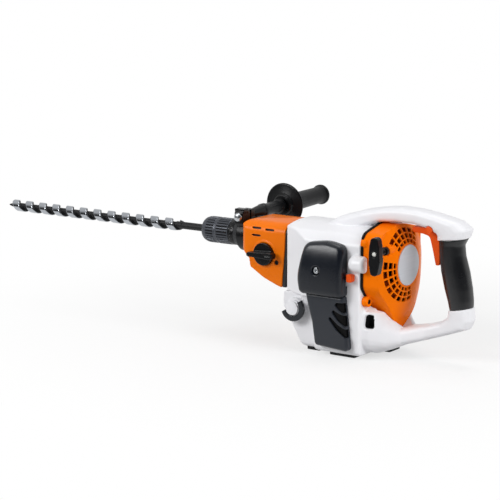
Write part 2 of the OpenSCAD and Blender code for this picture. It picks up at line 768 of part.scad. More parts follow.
module handle_grip() {
    r = side_grip_d / 2;
    from = guard_out + 5 + seat_fit;
    end = from + side_grip_len;
    color("black") side_frame() translate([0, 0, bolt_z]) union() {
        turned_y([[0, from], [r + 1.5, from], [r + 1.5, from + 4], [r, from + 7], [r - 0.8, from + 50],
            [r - 1.4, end - 16], [r - 0.4, end - 9], [r + 1.4, end - 7], [r + 1.4, end - 3], [r - 1, end],
            [0, end]]);
        rod_y(stem_end - 17, from + 1, stem_bore_d);
    }
}

// Engine housing
module housing_form(depth) {
    intersection() {
        along_x(rounded(inset(housing_section, depth)), housing_x - 20, housing_end + 20);
        along_z(rounded(inset(housing_plan, depth)), floor_z - 20, 2 * housing_up);
        along_y(rounded(inset(housing_side, depth)), -2 * side_left, 2 * right_reach);
    }
}

fan_room_d = fan_d + 12;
starter_screws_at = [[-57, 19], [57, 19], [-52, -72], [52, -72]];
starter_ear_d = 16;
boss_at = [-66, -13];
boss_d = 26;
lever_pivot = [filter_end - 10, -35];
lever_pin_d = 5;
wall_bar = [-31, -21];
cylinder_x = housing_end - 50;
plug_at = [cylinder_x, -40];

module shield_form(depth, x0, x1) {
    along_x(rounded(inset(starter_front, depth)), x0, x1);
}

module engine_housing() {
    color("white") seat() difference() {
        union() {
            housing_form(0);
            translate([housing_end, boss_at.x, boss_at.y]) turned_x([[0, -17], [boss_d / 2 - 7, -16.5],
                [boss_d / 2 - 2.5, -14], [boss_d / 2, -8], [boss_d / 2, 9], [boss_d / 2 - 3, 12], [0, 12]]);
        }
        housing_form(wall);
        translate([0, 0, crank_z]) {
            rod_x(housing_x - 9, housing_x + 9, drum_d + 6);
            rod_x(housing_end - 9, housing_end + 1, fan_room_d);
        }
        block([filter_x + 8, -side_left - 1, wall_bar[1]], [filter_end - 18, -side_left + wall + 6, 8]);
        block([filter_x + 10, -side_left - 1, filter_low + 6],
            [filter_end - 18, -side_left + wall + 6, wall_bar[0]]);
        along_y(rounded(inset(guard_side, 9)), -side_left - 1, -side_left + wall + 6);
        shield_form(-gap - 0.3, housing_end + seat_fit, housing_end + 40);
        for (p = starter_screws_at) translate([0, p.x, p.y]) {
            rod_x(housing_end + seat_fit, housing_end + 40, starter_ear_d + 2 * gap);
            rod_x(housing_end - 14, housing_end + 1, screw_d + 2 * seat_fit);
        }
        translate([lever_pivot.x, 0, lever_pivot.y])
            rod_y(-side_left - 1, -side_left + wall + 6, lever_pin_d + 2 * run_fit);
        translate([filter_screw_at.x, 0, filter_screw_at.y])
            rod_y(-side_left - 1, -side_left + wall + 6, screw_d + 2 * seat_fit);
    }
}

case_x = housing_x + 65;
case_end = housing_end - 25;
case_d = 76;
case_flat = -34;

module crankcase() {
    color("gray") seat() translate([0, 0, crank_z]) difference() {
        union() {
            rod_x(case_x, case_end, case_d);
            block([case_x + 12, 20, -15], [case_end - 12, right_reach - wall, 15]);
            rod_x(case_x - 8, case_x + 1, crank_bearing_d + 8);
        }
        rod_x(case_x - 9, case_end + 1, crank_d + 2 * gap);
        rod_x(case_x - 9, case_x - 8 + bearing_w, crank_bearing_d + 2 * seat_fit);
        rod_x(case_end - bearing_w, case_end + 1, crank_bearing_d + 2 * seat_fit);
        block([case_x - 1, -case_d, -case_d], [case_end + 1, case_flat, case_d]);
    }
}

module crank_bearings() {
    color("gainsboro") seat() translate([0, 0, crank_z]) {
        bearing_x(case_x - 8, crank_bearing_d, crank_d + 2 * run_fit);
        bearing_x(case_end - bearing_w, crank_bearing_d, crank_d + 2 * run_fit);
    }
}

hub_x = drum_x + wall + 1.5;
hub_len = drum_len - wall - 4;
fan_x = case_end + 3;
fan_end = housing_end - 3;

module crankshaft() {
    color("silver") seat() translate([0, 0, crank_z]) {
        rod_x(hub_x, fan_end + 4, crank_d);
        translate([fan_end + 0.5, 0, 0]) rotate([0, 90, 0]) cylinder(h = 7, d = crank_d + 8, $fn = 6);
    }
}

// Three centrifugal shoes on their carrier
module clutch_hub() {
    color("gray") seat() translate([0, 0, crank_z]) difference() {
        rod_x(hub_x, hub_x + hub_len, drum_d - 2 * wall - 3);
        rod_x(hub_x - 1, hub_x + hub_len + 1, crank_d + 2 * seat_fit);
        for (a = [0:120:240]) rotate([a, 0, 0])
            block([hub_x - 1, -1, crank_d / 2 + 6], [hub_x + hub_len + 1, 1, drum_d]);
        ring_x(hub_x + hub_len / 2 - 2, hub_x + hub_len / 2 + 2, drum_d, drum_d - 2 * wall - 9);
    }
}

module flywheel() {
    color("gray") seat() translate([0, 0, crank_z]) difference() {
        union() {
            rod_x(fan_x, fan_x + 6, fan_d - 1);
            rod_x(fan_x, fan_end, crank_d + 14);
            for (i = [0:fan_blades - 1]) rotate([360 * i / fan_blades, 0, 0])
                translate([0, 4, 0])
                    block([fan_x + 3, -1.2, crank_d / 2 + 12], [fan_end, 1.2, fan_d / 2 - 1]);
        }
        rod_x(fan_x - 1, fan_end + 1, crank_d + 2 * seat_fit);
    }
}

head_y = -58;
fin_pitch = (case_flat - 4 - head_y) / fins;

module fin_plate(half, y0, y1) {
    along_y(rounded([[-half, -half, 5], [half, -half, 5], [half, half, 5], [-half, half, 5]]), y0, y1);
}

intake_x = filter_x + 24;
port_drop = fin_w / 2 + 4;

module cylinder_barrel() {
    half = fin_w / 2;
    color("silver") seat() translate([cylinder_x, 0, crank_z]) difference() {
        union() {
            rod_y(head_y + 1, case_flat - seat_fit, 36);
            fin_plate(24, case_flat - 4, case_flat - seat_fit);
            for (i = [1:fins - 1])
                fin_plate(half, case_flat - 4 - i * fin_pitch, case_flat - 4 - (i - 0.5) * fin_pitch);
            fin_plate(half, head_y, head_y + 3);
            block([-13, head_y + 5, -port_drop], [13, case_flat - 5, 0]);
            translate([0, (head_y + case_flat) / 2 - 2, 6]) rod_x(intake_x - cylinder_x, 0, 17);
        }
        translate([plug_at.x - cylinder_x, 0, plug_at.y - crank_z])
            rod_y(head_y - 1, head_y + 12, 6 + 2 * seat_fit);
    }
}

module spark_plug() {
    color("whitesmoke") seat() translate([plug_at.x, 0, plug_at.y]) {
        rod_y(head_y - seat_fit, head_y + 11, 6);
        translate([0, head_y - seat_fit, 0]) rotate([90, 0, 0]) cylinder(h = 3.5, d = 11, $fn = 6);
        rod_y(head_y - 14, head_y - 3, 6);
    }
}

module plug_boot() {
    color("black") seat() translate([plug_at.x, 0, plug_at.y]) difference() {
        union() {
            rod_y(head_y - 20, head_y - 3.5 - 2 * seat_fit, 13);
            translate([0, head_y - 14, 0]) rod_x(0, 10, 9);
        }
        rod_y(head_y - 14 - seat_fit, head_y, 6 + 2 * seat_fit);
    }
}

module carburettor() {
    y = (head_y + case_flat) / 2 - 2;
    color("silver") seat() translate([0, y, crank_z + 6]) difference() {
        union() {
            block([intake_x - 22, -10, -15], [intake_x - seat_fit, 13, 13]);
            translate([intake_x - 11, 0, 0]) rod_y(-12, 0, 20);
            translate([intake_x - 11, 0, 0]) cylinder(h = 17, d = 8);
        }
        translate([intake_x - 11, 0, 0]) rod_y(-15, 2, 14);
        rod_x(intake_x - 11, intake_x + 1, 12);
    }
}

filter_face = side_left + filter_deep;
well_d = 14;
well_deep = 6;

module air_filter() {
    color("khaki") seat()
        along_y(rounded([[filter_x + 22, wall_bar[1] + 4, 4], [filter_end - 14, wall_bar[1] + 4, 4],
            [filter_end - 14, 5, 4], [filter_x + 22, 5, 4]]),
            wall + seat_fit - filter_face, -side_left - 0.1);
}

// A cover whose outer edge is rolled over a round of the given radius
module rolled_cover(corners, back, face, roll) {
    steps = 4;
    loft(concat(
        [[for (p = rounded(corners)) [p.x, back, p.y]]],
        [for (k = [0:steps])
            let (a = 90 * k / steps)
            [for (p = rounded(inset(corners, roll * (1 - cos(a)))))
                [p.x, face + roll * (1 - sin(a)), p.y]]]));
}

module filter_cover() {
    back = -side_left - seat_fit;
    color("darkslategray") seat() difference() {
        union() {
            difference() {
                rolled_cover(filter_side, back, -filter_face, 7);
                rolled_cover(inset(filter_side, wall), back + 1, wall - filter_face, 5);
            }
            translate([filter_screw_at.x, 0, filter_screw_at.y]) rod_y(1 - filter_face, back, well_d + 4);
        }
        translate([filter_screw_at.x, 0, filter_screw_at.y]) {
            rod_y(-filter_face - 1, 0, screw_d + 2 * seat_fit);
            rod_y(-filter_face - 1, well_deep - filter_face, well_d);
        }
        block([filter_end - 8, back - 4.5, lever_pivot.y - 14],
            [filter_end + 8, back + 1, lever_pivot.y + 6]);
    }
}

module filter_screw() {
    face = well_deep - filter_face - seat_fit;
    color("silver") seat() translate([filter_screw_at.x, 0, filter_screw_at.y]) difference() {
        union() {
            rod_y(face - 4, face, 9);
            rod_y(face - 1, wall - side_left, screw_d);
        }
        translate([0, face - 4.2, 0]) rotate([-90, 0, 0]) cylinder(h = 3, d = 5, $fn = 6);
    }
}

module choke_lever() {
    y = -side_left - gap;
    color("orangered") seat() translate([lever_pivot.x, 0, lever_pivot.y]) {
        rod_y(y - 1, wall - side_left, lever_pin_d);
        along_y(rounded([[-5, -5, 4.5], [14, -3, 1], [14, 3, 1], [-5, 5, 4.5]]), y - 3, y);
        along_y(rounded([[13.2, -6.5, 3], [23, -6, 3], [23, 6, 3], [13.2, 6.5, 3]]), y - 10, y);
    }
}

module muffler() {
    top = crank_z - port_drop - seat_fit;
    color("gray") seat()
        along_y(rounded([[cylinder_x - 24, floor_z + 16, 8], [cylinder_x + 26, floor_z + 16, 8],
            [cylinder_x + 26, top, 6], [cylinder_x - 24, top, 6]]), head_y, -26);
}

guard_face = side_left + guard_deep;

module muffler_guard() {
    back = -side_left - seat_fit;
    color("dimgray") seat() difference() {
        rolled_cover(guard_side, back, -guard_face, 5);
        rolled_cover(inset(guard_side, wall), back + 1, wall - guard_face, 3);
        translate([filter_end, 0, filter_low]) for (vent = guard_vents)
            along_y(rounded(vent), -guard_face - 1, -side_left - 3);
    }
}

module ignition_module() {
    from = fan_d / 2 + coil_gap;
    color("black") seat() translate([0, 0, crank_z]) difference() {
        block([fan_x, from, -16], [fan_x + 12, right_reach - wall, 16]);
        block([fan_x - 1, from - 1, -8], [fan_x + 13, from + 3, 8]);
        rod_x(fan_x - 1, fan_x + 13, fan_d + 2 * coil_gap);
    }
}

// Fuel tank, cap and bail
filler_d = 20;
cap_flange_d = 24;

module tank_form(depth) {
    intersection() {
        along_y(rounded(inset(tank_side, depth)), -2 * tank_half, 2 * tank_half);
        along_x(rounded(inset(tank_front, depth)), housing_x - 20, tank_end + 5);
    }
}

module fuel_tank() {
    color("white") seat() difference() {
        union() {
            tank_form(0);
            translate([cap_at.x, 0, cap_at.y]) rod_y(-neck_out, 2 - tank_half, filler_d + 10);
        }
        tank_form(wall);
        translate([cap_at.x, 0, cap_at.y]) rod_y(-neck_out - 1, 4 - tank_half, filler_d);
    }
}

cap_low = -neck_out - gap;
bail_y = cap_low - 4.5;

module bail_frame() {
    translate([cap_at.x, bail_y, cap_at.y]) rotate([0, -bail_turn, 0]) children();
}

module fuel_cap() {
    color("white") seat() {
        translate([cap_at.x, 0, cap_at.y]) {
            rod_y(cap_low - 4, cap_low, cap_flange_d);
            rod_y(cap_low - 8.5, cap_low - 3, cap_d);
            rod_y(cap_low - 1, 5 - tank_half, filler_d - 2 * run_fit);
        }
        bail_frame() {
            rod_x(-bail_d / 2 + 2, -5, bail_pin_d);
            rod_x(5, bail_d / 2 - 2, bail_pin_d);
        }
    }
}

// A half ring that folds about the pins of the cap
module cap_bail() {
    inner = cap_flange_d / 2 + 2 * gap;
    outer = bail_d / 2;
    color("darkslategray") seat() bail_frame() difference() {
        rod_y(-bail_t / 2, bail_t / 2, 2 * outer);
        rod_y(-bail_t, bail_t, 2 * inner);
        block([-outer - 1, -bail_t, bail_pin_d + 0.6], [outer + 1, bail_t, outer + 1]);
        rod_x(-outer + 1.5, outer - 1.5, bail_pin_d + 2 * run_fit);
    }
}

// Starter
module dome_form(depth) {
    edge = starter_half - 2 - depth;
    skirt = housing_end + starter_skirt - depth;
    translate([0, 0, crank_z]) turned_x(concat(
        [[0, housing_end - 1], [2 * starter_half, housing_end - 1], [2 * starter_half, skirt]],
        [for (k = [0:6]) [
            edge - dome_roll * (1 - cos(15 * k)), skirt + (starter_deep - starter_skirt) * sin(15 * k)]],
        [[0, starter_end - depth]]));
}

function sector(r, from, to) = concat(
    [for (k = [0:3]) r[1] * [cos(from + (to - from) * k / 3), sin(from + (to - from) * k / 3)]],
    [for (k = [3:-1:0]) r[0] * [cos(from + (to - from) * k / 3), sin(from + (to - from) * k / 3)]]);

ear_t = 10;
bush_d = 9;
bush_flange_d = 13;
bush_seat = -50;
bush_end = -38;
post_x = housing_end + 14;

module starter_cover() {
    back = housing_end + seat_fit;
    color("darkorange") seat() difference() {
        union() {
            difference() {
                intersection() {
                    shield_form(0, back, starter_end + 1);
                    dome_form(0);
                }
                intersection() {
                    shield_form(wall, back - 1, starter_end);
                    dome_form(wall);
                }
                translate([0, 0, crank_z]) for (r = vent_rings) {
                    for (a = concat([for (a = [168:vent_step:283]) a], [for (a = [52:vent_step:127]) a]))
                        along_x(sector(r, a, a + vent_step - 3), back, starter_end + 1);
                }
            }
            translate([pull_x, 0, rope_z]) rod_y(bush_seat, bush_end, bush_d + 6);
            translate([0, 0, crank_z]) rod_x(post_x, starter_end - 1, post_d);
            for (p = starter_screws_at) translate([0, p.x, p.y]) rod_x(back, back + ear_t, starter_ear_d);
        }
        translate([pull_x, 0, rope_z]) {
            rod_y(-starter_half - 1, bush_end + 1, bush_d + 2 * seat_fit);
            rod_y(-starter_half - 1, bush_seat, bush_flange_d + 2 * gap);
        }
        for (p = starter_screws_at) translate([0, p.x, p.y]) {
            rod_x(back - 1, back + ear_t + 1, screw_d + 2 * seat_fit);
            rod_x(back + ear_t - 4, back + starter_deep, screw_head_d + 2 * gap);
        }
    }
}

module badge_plate() {
    color("silver") seat() translate([0, 0, crank_z]) turned_x([[0, starter_end + seat_fit],
        [badge_d / 2, starter_end + seat_fit], [badge_d / 2, starter_end + 1],
        [badge_d / 2 - 0.6, starter_end + 1.6], [0, starter_end + 1.6]]);
}

module starter_screws() {
    head = housing_end + ear_t - 4 + 2 * seat_fit;
    color("black") seat() for (p = starter_screws_at) translate([0, p.x, p.y]) difference() {
        union() {
            rod_x(head, head + 3.5, screw_head_d);
            rod_x(housing_end - 8, head + 1, screw_d);
        }
        translate([head + 1.5, 0, 0]) rotate([0, 90, 0]) cylinder(h = 3, d = 4, $fn = 6);
    }
}

module starter_rotor() {
    half = 6;
    color("dimgray") seat() translate([pull_x, 0, crank_z]) difference() {
        turned_x([[post_d / 2 + run_fit, -half], [rotor_r, -half], [rotor_r, -half + 2],
            [rope_r - rope_d / 2, -2.5], [rope_r - rope_d / 2, 2.5], [rotor_r, half - 2], [rotor_r, half],
            [post_d / 2 + run_fit, half]]);
        for (a = [0:60:300]) rotate([a, 0, 0]) translate([0, 0, 15]) rod_x(-half - 1, half + 1, 8);
    }
}

module recoil_spring() {
    color("slategray") seat() translate([0, 0, crank_z])
        ring_x(post_x + 1, pull_x - 6 - gap, 2 * rope_r - 6, post_d + 2 * seat_fit);
}

module rope_bush() {
    color("black") seat() translate([pull_x, 0, rope_z]) difference() {
        union() {
            rod_y(pull_near + gap, bush_end, bush_d);
            rod_y(bush_seat - 6, bush_seat - seat_fit, bush_flange_d);
        }
        rod_y(pull_near - 1, bush_end + 1, rope_d + 1);
    }
}

// A waisted bar that stands across the rope
module starter_grip() {
    half = pull_h / 2;
    color("black") seat() translate([pull_x, 0, rope_z - 4]) difference() {
        along_y(rounded([[-pull_w / 2 + 4, -half, 6], [pull_w / 2 - 4, -half, 6], [pull_w / 2, -half / 3, 24],
            [pull_w / 2 - 1, half / 2, 24], [pull_w / 2 - 4, half, 6], [4 - pull_w / 2, half, 6],
            [1 - pull_w / 2, half / 2, 24], [-pull_w / 2, -half / 3, 24]]), pull_near - pull_deep, pull_near);
        translate([0, 0, 4]) rod_y(pull_near - pull_deep - 1, pull_near + 1, rope_d + 2 * seat_fit);
        translate([0, 0, 4]) rod_y(pull_near - pull_deep - 1, pull_near - pull_deep + 4.6, 9);
    }
}

module starter_rope() {
    color("whitesmoke") seat() translate([pull_x, 0, rope_z]) {
        rod_y(pull_near - pull_deep + 1, bush_end - 2, rope_d);
        translate([0, pull_near - pull_deep + 1.5, 0]) sphere(d = 7);
    }
}

// Rear handle
module core_axis() {
    translate([housing_end + grip_rings[0][1], 0, grip_rings[0][0]]) rotate([0, -core_lean, 0]) children();
}

module grip_bore(fit) {
    core_axis() translate([0, 0, -116]) cylinder(h = 126, d = grip_core_d + 2 * fit);
}

module trigger_room() {
    half = trigger_w / 2 + 2 * gap;
    along_y(rounded(trigger_slot), -half, half);
}

module upper_handle_arm() {
    color("white") seat() difference() {
        loft([for (s = upper_arm) arm_ring(s, housing_end)]);
        housing_form(0);
        shield_form(-gap, housing_end - 1, starter_end + 3);
        trigger_room();
        translate([trigger_pivot.x, 0, trigger_pivot.y]) {
            rod_y(-15, 15, trigger_pin_d + 2 * seat_fit);
            rod_y(-2 * arm_half, pin_head_y + seat_fit, pin_head_d + 2 * gap);
        }
        grip_bore(seat_fit);
    }
}

window_side = [
    [housing_end + 4, -113, 4], [housing_end + 20, -113, 4],
    [housing_end + 18, -91, 4], [housing_end + 6, -91, 6]];

module lower_handle_arm() {
    color("white") seat() difference() {
        loft([for (s = lower_arm) arm_ring(s, housing_end)]);
        shield_form(-gap, housing_end - 1, housing_end + 46);
        for (p = starter_screws_at) translate([0, p.x, p.y])
            rod_x(housing_end - 1, housing_end + 30, starter_ear_d + 2 * gap);
        along_y(rounded(window_side), -side_left - 5, 22 - side_left);
        grip_bore(seat_fit);
    }
}

module rear_grip() {
    color("dimgray") seat() difference() {
        loft([for (r = grip_rings) grip_ring(r, housing_end)]);
        trigger_room();
        grip_bore(seat_fit);
    }
}

module grip_core() {
    color("gray") seat() grip_bore(0);
}

module trigger() {
    color("orangered") seat() difference() {
        along_y(rounded(trigger_side), -trigger_w / 2, trigger_w / 2);
        translate([trigger_pivot.x, 0, trigger_pivot.y]) rod_y(-20, 20, trigger_pin_d + 2 * run_fit);
    }
}

module trigger_pin() {
    color("orangered") seat() translate([trigger_pivot.x, 0, trigger_pivot.y]) {
        rod_y(pin_head_y - 1, 14.5, trigger_pin_d);
        rod_y(-arm_half + 1, pin_head_y, pin_head_d);
    }
}

// Feet
front_foot = [24, 16];
rear_foot = [46, 92];
rear_pad = [18, 32];

module foot(size) {
    along_z(rounded([[-size.x / 2, -size.y / 2, 3], [size.x / 2, -size.y / 2, 3], [size.x / 2, size.y / 2, 3],
        [-size.x / 2, size.y / 2, 3]]), floor_z - foot_h, floor_z - seat_fit);
}

module rubber_feet() {
    color("black") seat() {
        for (side = [-1, 1]) translate([tank_end - 17, side * 32, 0]) foot(front_foot);
        translate([base_x, -4, 0]) foot(rear_foot);
        translate([housing_end - 1, 30, 0]) foot(rear_pad);
    }
}

auger_bit();
chuck_sleeve();
chuck_ring();
chuck_body();
chuck_jaw_1();
chuck_jaw_2();
chuck_jaw_3();
spindle();
output_gear();
spindle_bearings();
mid_shaft();
mid_gears();
clutch_drum();
drive_pinion();
gear_case();
gear_cover();
gear_cover_screws();
selector_knob();
selector_shaft();
handle_collar();
collar_bolt();
handle_stem();
handle_guard();
handle_grip();
engine_housing();
crankcase();
crank_bearings();
crankshaft();
clutch_hub();
flywheel();
cylinder_barrel();
spark_plug();
plug_boot();
carburettor();
air_filter();
filter_cover();
filter_screw();
choke_lever();
muffler();
muffler_guard();
ignition_module();
fuel_tank();
fuel_cap();
cap_bail();
starter_cover();
badge_plate();
starter_screws();
starter_rotor();
recoil_spring();
rope_bush();
starter_grip();
starter_rope();
upper_handle_arm();
lower_handle_arm();
rear_grip();
grip_core();
trigger();
trigger_pin();
rubber_feet();
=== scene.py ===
import json
import math

import bmesh
import bpy
from mathutils import Matrix, Vector

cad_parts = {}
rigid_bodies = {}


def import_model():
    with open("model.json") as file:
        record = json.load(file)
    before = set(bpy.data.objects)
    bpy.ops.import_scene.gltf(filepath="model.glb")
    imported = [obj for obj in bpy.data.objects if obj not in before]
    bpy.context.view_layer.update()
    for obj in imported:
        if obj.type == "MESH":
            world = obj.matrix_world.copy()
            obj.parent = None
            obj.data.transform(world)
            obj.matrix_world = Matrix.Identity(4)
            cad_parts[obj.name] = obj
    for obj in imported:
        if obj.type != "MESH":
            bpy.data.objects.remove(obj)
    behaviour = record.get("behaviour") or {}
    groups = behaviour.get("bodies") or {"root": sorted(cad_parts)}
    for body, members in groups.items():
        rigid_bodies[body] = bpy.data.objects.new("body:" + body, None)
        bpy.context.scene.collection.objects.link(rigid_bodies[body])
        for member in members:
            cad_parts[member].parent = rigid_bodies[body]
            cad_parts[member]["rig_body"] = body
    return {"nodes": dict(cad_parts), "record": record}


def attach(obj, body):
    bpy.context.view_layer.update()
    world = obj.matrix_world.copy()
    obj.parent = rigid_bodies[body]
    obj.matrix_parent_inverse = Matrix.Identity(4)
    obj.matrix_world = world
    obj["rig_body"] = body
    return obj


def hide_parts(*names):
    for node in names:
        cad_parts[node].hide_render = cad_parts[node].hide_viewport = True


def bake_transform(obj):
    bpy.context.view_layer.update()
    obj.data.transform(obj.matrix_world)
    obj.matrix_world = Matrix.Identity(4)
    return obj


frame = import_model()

nodes = frame["nodes"]
scene = bpy.context.scene
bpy.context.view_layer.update()  # the CAD box, before any piece is added
mm = 0.001
axisZ = 0.164  # spindle height
crankZ = 0.145  # crankshaft height
scene.view_settings.view_transform = "Standard"


def hexColour(text):
    parts = [int(text[i:i + 2], 16) / 255 for i in (0, 2, 4)]
    return [c / 12.92 if c <= 0.04045 else ((c + 0.055) / 1.055) ** 2.4 for c in parts] + [1.0]


def addNode(tree, kind, settings=None, inputs=None):
    node = tree.nodes.new(kind)
    for key, value in (settings or {}).items():
        setattr(node, key, value)
    for key, value in (inputs or {}).items():
        if isinstance(value, bpy.types.NodeSocket):
            tree.links.new(value, node.inputs[key])
        else:
            node.inputs[key].default_value = value
    return node


def newMaterial(name):
    material = bpy.data.materials.new(name)
    material.use_nodes = True
    material.node_tree.nodes.clear()
    return material, material.node_tree


def closeMaterial(tree, shader):
    addNode(tree, "ShaderNodeOutputMaterial", None, {"Surface": shader.outputs[0]})


noiseSpan = {"From Min": 0.3, "From Max": 0.7}  # noise seldom leaves this span
plasticLook = {"ior": 1.53, "glossier": 0.05, "duller": 0.06, "deepMm": 0.3, "cloudDetail": 3.0, "grainDetail": 2.0}
metalLook = {"glossier": 0.06, "duller": 0.08, "deepMm": 0.1, "markDetail": 4.0}


# Moulded plastic and rubber: one clouded colour, a spark-eroded grain, and a gloss that wanders a little.
# The real grain is about 0.1 mm, too fine for the render, so grainMm is coarser to show.
def moulded(name, look):
    material, tree = newMaterial(name)
    place = addNode(tree, "ShaderNodeTexCoord").outputs["Object"]
    cloud = addNode(tree, "ShaderNodeTexNoise", None, {
        "Vector": place, "Scale": 1000 / look["cloudMm"], "Detail": plasticLook["cloudDetail"]})
    grain = addNode(tree, "ShaderNodeTexNoise", None, {
        "Vector": place, "Scale": 1000 / look["grainMm"], "Detail": plasticLook["grainDetail"]})
    tint = addNode(tree, "ShaderNodeMix", {"data_type": "RGBA"}, {
        0: cloud.outputs["Fac"], 6: hexColour(look["hex"]), 7: hexColour(look["shadeHex"])})
    gloss = addNode(tree, "ShaderNodeMapRange", None, {
        "Value": cloud.outputs["Fac"], **noiseSpan,
        "To Min": look["rough"] - plasticLook["glossier"], "To Max": look["rough"] + plasticLook["duller"]})
    bump = addNode(tree, "ShaderNodeBump", None, {
        "Strength": look["grain"], "Distance": plasticLook["deepMm"] * mm, "Height": grain.outputs["Fac"]})
    shader = addNode(tree, "ShaderNodeBsdfPrincipled", None, {
        "Base Color": tint.outputs[2], "Roughness": gloss.outputs[0], "Normal": bump.outputs[0],
        "IOR": plasticLook["ior"], "Specular IOR Level": look["shine"]})
    closeMaterial(tree, shader)
    return material


# Worked metal: turning or grinding marks, drawn out along the way the tool ran, and coarser than real to show
def worked(name, look):
    material, tree = newMaterial(name)
    place = addNode(tree, "ShaderNodeTexCoord").outputs["Object"]
    drawn = addNode(tree, "ShaderNodeMapping", None, {"Vector": place, "Scale": look["draw"]})
    marks = addNode(tree, "ShaderNodeTexNoise", None, {
        "Vector": drawn.outputs[0], "Scale": 1000 / look["markMm"], "Detail": metalLook["markDetail"]})
    tint = addNode(tree, "ShaderNodeMix", {"data_type": "RGBA"}, {
        0: marks.outputs["Fac"], 6: hexColour(look["hex"]), 7: hexColour(look["shadeHex"])})
    gloss = addNode(tree, "ShaderNodeMapRange", None, {
        "Value": marks.outputs["Fac"], **noiseSpan,
        "To Min": look["rough"] - metalLook["glossier"], "To Max": look["rough"] + metalLook["duller"]})
    bump = addNode(tree, "ShaderNodeBump", None, {
        "Strength": look["grain"], "Distance": metalLook["deepMm"] * mm, "Height": marks.outputs["Fac"]})
    shader = addNode(tree, "ShaderNodeBsdfPrincipled", None, {
        "Base Color": tint.outputs[2], "Roughness": gloss.outputs[0], "Normal": bump.outputs[0],
        "Metallic": look["metal"]})
    closeMaterial(tree, shader)
    return material


plastics = {
    "orangeAbs": {"hex": "EE770A", "shadeHex": "EF7408", "rough": 0.26, "grain": 0.07, "grainMm": 2.6,
                  "cloudMm": 70, "shine": 0.14},  # ABS from a polished mould: bright, even, low sheen
    "litOrangeAbs": {"hex": "FA7A06", "shadeHex": "F87504", "rough": 0.30, "grain": 0.07, "grainMm": 2.6,
                   "cloudMm": 70, "shine": 0.03},  # painted light: the orange ABS made brighter and fuller for the starter cover, as the lamps light it, with less sheen
    "triggerAbs": {"hex": "EA581A", "shadeHex": "E25014", "rough": 0.34, "grain": 0.06, "grainMm": 2.6,
                   "cloudMm": 40, "shine": 0.16},  # redder ABS of the controls
    "whiteAbs": {"hex": "EFEFF2", "shadeHex": "E9E9ED", "rough": 0.30, "grain": 0.04, "grainMm": 3.0,
                 "cloudMm": 90, "shine": 0.3},  # white ABS: clean, with a soft gloss on its curves
    "slateNylon": {"hex": "161A22", "shadeHex": "12161D", "rough": 0.26, "grain": 0.10, "grainMm": 2.4,
                   "cloudMm": 60, "shine": 0.38},  # filled nylon, moulded smooth: blue-black with a clear highlight
    "guardNylon": {"hex": "262A32", "shadeHex": "20242B", "rough": 0.32, "grain": 0.12, "grainMm": 2.4,
                   "cloudMm": 60, "shine": 0.38},  # heat-proof nylon: a greyer, duller slate
    "blackNylon": {"hex": "0B0C0F", "shadeHex": "08090B", "rough": 0.28, "grain": 0.08, "grainMm": 2.2,
                   "cloudMm": 40, "shine": 0.25},  # black nylon: near black, small lights on its edges
    "gripRubber": {"hex": "131417", "shadeHex": "0F1013", "rough": 0.3, "grain": 0.25, "grainMm": 2.0,
                   "cloudMm": 30, "shine": 0.5},  # soft overmoulded rubber with a broad sheen
    "sideRubber": {"hex": "0C0D10", "shadeHex": "090A0C", "rough": 0.42, "grain": 0.25, "grainMm": 2.0,
                   "cloudMm": 30, "shine": 0.2},  # matt rubber of the side grip
    "footRubber": {"hex": "141517", "shadeHex": "0F1012", "rough": 0.70, "grain": 0.35, "grainMm": 2.0,
                   "cloudMm": 30, "shine": 0.3},  # dusty rubber of the feet
    "shadeBlack": {"hex": "0B0B0C", "shadeHex": "080809", "rough": 0.75, "grain": 0.10, "grainMm": 2.0,
                   "cloudMm": 20, "shine": 0.2},  # painted shade: near black with almost no light back, for hollows, gaps and grooves
    "shadedAbs": {"hex": "A83A0A", "shadeHex": "822A08", "rough": 0.70, "grain": 0.10, "grainMm": 2.4,
                  "cloudMm": 30, "shine": 0.1},  # orange ABS seen in its own shade
    "filterFoam": {"hex": "B9A878", "shadeHex": "9C8C5E", "rough": 0.90, "grain": 0.80, "grainMm": 2.0,
                   "cloudMm": 12, "shine": 0.2},  # oiled open foam: straw, rough
    "braidedRope": {"hex": "DADAD6", "shadeHex": "BEBEB8", "rough": 0.80, "grain": 0.60, "grainMm": 1.6,
                    "cloudMm": 6, "shine": 0.3},  # braided nylon rope: off-white, matt
    "glazedCeramic": {"hex": "ECEBE6", "shadeHex": "E2E0DA", "rough": 0.16, "grain": 0.02, "grainMm": 3.0,
                      "cloudMm": 20, "shine": 0.6},  # glazed insulator: white and wet-looking
}
